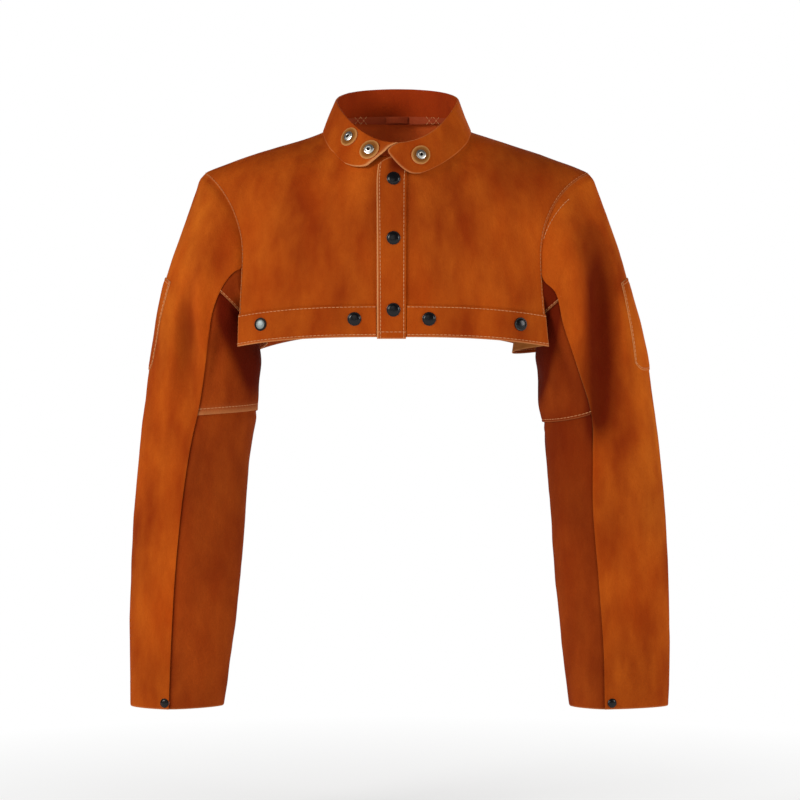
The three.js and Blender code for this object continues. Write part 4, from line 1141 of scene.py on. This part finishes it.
for node, seat_name, u, v, kind in SNAPS:
    surface, look, above, below = SEATS[seat_name]
    u, v = np.array(float(u)), np.array(float(v))
    way = normals(surface, u, v) * look
    seat = settle(surface, u, v, look, 0.0)
    profile, finishes, numbers, slot = SNAP_KINDS[kind]
    head = turned(node + "_metal", profile, seat, way, above, finishes, numbers)
    disc = turned(node + "_back_metal", BACK_DISC, seat, -way, below, (nickel,), [0] * 4)
    for piece, stands_for, finish in ((head, node, slot), (disc, node + "_back", "nickel")):
        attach(piece, "root")
        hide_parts(stands_for)
    if kind != "socket":
        continue
    across = (collar_at(u + NUDGE, v) - collar_at(u, v)) / NUDGE
    upward = collar_rim(u) - collar_base(u)
    per_angle = np.linalg.norm(across)
    lean = float(upward @ across) / per_angle
    per_height = np.linalg.norm(upward - across / per_angle * lean)

    def washer_sheet(turn, share, angle=u, height=v, sizes=(per_angle, per_height, lean)):
        radius = mix(WASHER_HOLE, WASHER_RADIUS, share)
        right = radius * np.cos(turn * 2 * math.pi)
        up = radius * np.sin(turn * 2 * math.pi) / sizes[1]
        return collar_at(angle + (right - up * sizes[2]) / sizes[0], height + up)

    leather(node.replace("snap", "washer"), washer_sheet, WASHER_TURNS, WASHER_RINGS,
            facing(washer_sheet, way, 0.0), RESTING, LAP + LEATHER,
            (tan_suede, flesh_suede, cut_edge), raw=(("bottom", 1.9, 0.6),), ring=True,
            flat=(2 * WASHER_RADIUS, 2 * WASHER_RADIUS))

# Stitching
# Waxed thread in a lock stitch of five or six to the inch along every topstitched seam: rust on the
# fronts and pale elsewhere. Each stitch is a short length that dips into the leather at both ends.
STITCH_PITCH = 0.0046
STITCH_LENGTH = 0.0043


def thread_finish(name, soiled_dye, dye):
    """Waxed cotton thread: satin, with a fine twist that breaks the light and soiling in places."""
    twist_size, soil_size = 0.0008, 0.03
    material, tree, place = new_material(name)
    twist = add_node(tree, "ShaderNodeTexNoise", {"Vector": place, "Scale": 1 / twist_size, "Detail": 2.0})
    soiled = add_node(tree, "ShaderNodeTexNoise", {"Vector": place, "Scale": 1 / soil_size, "Detail": 2.0})
    pale = add_node(tree, "ShaderNodeMix", {
        0: soiled.outputs[0], 6: colour(soiled_dye), 7: colour(dye)}, data_type="RGBA")
    fuzz = add_node(tree, "ShaderNodeBump", {
        "Height": twist.outputs[0], "Strength": 0.3, "Distance": 0.0002})
    shader = add_node(tree, "ShaderNodeBsdfPrincipled", {
        "Base Color": pale.outputs[2], "Roughness": 0.7, "Normal": fuzz.outputs[0]})
    add_node(tree, "ShaderNodeOutputMaterial", {"Surface": shader.outputs[0]})
    return material


def stitch_tree():
    """Nodes that lay one stitch after another along lines."""
    tree = bpy.data.node_groups.new("lock_stitches", "GeometryNodeTree")
    tree.interface.new_socket("Lines", in_out="INPUT", socket_type="NodeSocketGeometry")
    for name in ("Pitch", "Length", "Radius"):
        tree.interface.new_socket(name, in_out="INPUT", socket_type="NodeSocketFloat")
    tree.interface.new_socket("Thread", in_out="INPUT", socket_type="NodeSocketMaterial")
    tree.interface.new_socket("Stitches", in_out="OUTPUT", socket_type="NodeSocketGeometry")
    given = add_node(tree, "NodeGroupInput", {}).outputs
    curve = add_node(tree, "GeometryNodeMeshToCurve", {"Mesh": given["Lines"]})
    points = add_node(tree, "GeometryNodeCurveToPoints", {
        "Curve": curve.outputs[0], "Length": given["Pitch"]}, mode="LENGTH")
    aim = add_node(tree, "FunctionNodeAlignRotationToVector", {
        "Vector": points.outputs["Tangent"]}, axis="Z")
    bead = add_node(tree, "GeometryNodeMeshUVSphere", {"Segments": 7, "Rings": 6, "Radius": 1.0})
    half = add_node(tree, "ShaderNodeMath", {0: given["Length"], 1: 0.5}, operation="MULTIPLY")
    size = add_node(tree, "ShaderNodeCombineXYZ", {
        "X": given["Radius"], "Y": given["Radius"], "Z": half.outputs[0]})
    stitch = add_node(tree, "GeometryNodeTransform", {
        "Geometry": bead.outputs[0], "Scale": size.outputs[0]})
    laid = add_node(tree, "GeometryNodeInstanceOnPoints", {
        "Points": points.outputs["Points"], "Instance": stitch.outputs[0], "Rotation": aim.outputs[0]})
    joined = add_node(tree, "GeometryNodeRealizeInstances", {"Geometry": laid.outputs[0]})
    rounded = add_node(tree, "GeometryNodeSetShadeSmooth", {"Geometry": joined.outputs[0]})
    dyed = add_node(tree, "GeometryNodeSetMaterial", {
        "Geometry": rounded.outputs[0], "Material": given["Thread"]})
    add_node(tree, "NodeGroupOutput", {0: dyed.outputs[0]})
    return tree


pale_thread = thread_finish("pale_waxed_thread", "#B86A34", "#D89C66")
rust_thread = thread_finish("rust_waxed_thread", "#A4541E", "#C07A40")
lock_stitches = stitch_tree()
sockets = {item.name: item.identifier for item in lock_stitches.interface.items_tree}
for group, runs in stitch_runs.items():
    points = np.concatenate(runs)
    links = []
    first = 0
    for run in runs:
        links += [(first + i, first + i + 1) for i in range(len(run) - 1)]
        first += len(run)
    lines = bpy.data.meshes.new(group + "_lines")
    lines.from_pydata(points.tolist(), links, [])
    guide = add_object(group + "_guide", lines)
    sewing = guide.modifiers.new("sewing", "NODES")
    sewing.node_group = lock_stitches
    sewing[sockets["Pitch"]] = STITCH_PITCH
    sewing[sockets["Length"]] = STITCH_LENGTH
    sewing[sockets["Radius"]] = THREAD * MM
    sewing[sockets["Thread"]] = rust_thread if group.startswith("front_panel") else pale_thread
    sewn = bpy.data.meshes.new_from_object(guide.evaluated_get(bpy.context.evaluated_depsgraph_get()))
    bpy.data.objects.remove(guide)
    piece = add_object(group + "_stitches", sewn)
    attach(piece, "root")

# Studio
# A pale floor that fades into a white surround, a soft light on each side of the camera, a weak one
# near it, one behind for the back, and a level camera in front of the chest.
FLOOR_Z = -0.83
FLOOR_HALF = 12.0
FLOOR_FADE = (-1.2, 1.1)  # distances from the middle between which the floor turns white
SURROUND = 0.09  # light of the surround on the part
AIM = Vector((0.0, 0.0, -0.3))

floor_mesh = bpy.data.meshes.new("studio_floor")
corners = ((-1, -1), (1, -1), (1, 1), (-1, 1))
floor_mesh.from_pydata([(x * FLOOR_HALF, y * FLOOR_HALF, FLOOR_Z) for x, y in corners], [], [(0, 1, 2, 3)])
floor = add_object("studio_floor", floor_mesh)
paper, tree, place = new_material("white_paper")
flat_place = add_node(tree, "ShaderNodeVectorMath", {0: place, 1: (1.0, 1.0, 0.0)}, operation="MULTIPLY")
away = add_node(tree, "ShaderNodeVectorMath", {0: flat_place.outputs[0]}, operation="LENGTH")
fade = add_node(tree, "ShaderNodeMapRange", {
    "Value": away.outputs["Value"], "From Min": FLOOR_FADE[0], "From Max": FLOOR_FADE[1]}).outputs[0]
matt = add_node(tree, "ShaderNodeBsdfDiffuse", {"Color": colour("#F4F4F2")})
glow = add_node(tree, "ShaderNodeEmission", {"Color": colour("#FFFFFF"), "Strength": 1.0})
blend = add_node(tree, "ShaderNodeMixShader", {0: fade, 1: matt.outputs[0], 2: glow.outputs[0]})
add_node(tree, "ShaderNodeOutputMaterial", {"Surface": blend.outputs[0]})
floor_mesh.materials.append(paper)

world = bpy.data.worlds.new("studio")
bpy.context.scene.world = world
world.use_nodes = True
tree = world.node_tree
tree.nodes.clear()
seen = add_node(tree, "ShaderNodeLightPath", {}).outputs["Is Camera Ray"]
white = add_node(tree, "ShaderNodeBackground", {"Color": colour("#FFFFFF"), "Strength": 1.0})
grey = add_node(tree, "ShaderNodeBackground", {"Color": colour("#FFFFFF"), "Strength": SURROUND})
surround = add_node(tree, "ShaderNodeMixShader", {0: seen, 1: grey.outputs[0], 2: white.outputs[0]})
add_node(tree, "ShaderNodeOutputWorld", {"Surface": surround.outputs[0]})

# Lights: place, size and power
LIGHTS = (
    ("left_softbox", (-2.1, -1.7, 0.75), 1.1, 53),
    ("right_softbox", (2.5, -1.2, 0.45), 1.1, 34),
    ("front_softbox", (-0.4, -3.2, 0.7), 1.4, 6),
    ("rear_softbox", (0.6, 2.8, 0.9), 1.8, 36),
)
for name, spot, size, power in LIGHTS:
    lamp = bpy.data.lights.new(name, "AREA")
    lamp.size = size
    lamp.energy = power
    holder = add_object(name, lamp)
    holder.location = spot
    holder.rotation_euler = (AIM - Vector(spot)).to_track_quat("-Z", "Y").to_euler()

lens = bpy.data.cameras.new("camera")
lens.lens = 112.5
lens.sensor_width = 36.0
viewer = add_object("camera", lens)
viewer.location = (0.0036, -3.0, -0.312)
viewer.rotation_euler = (math.pi / 2, 0, 0)
bpy.context.scene.camera = viewer
bpy.context.scene.view_settings.view_transform = "Standard"
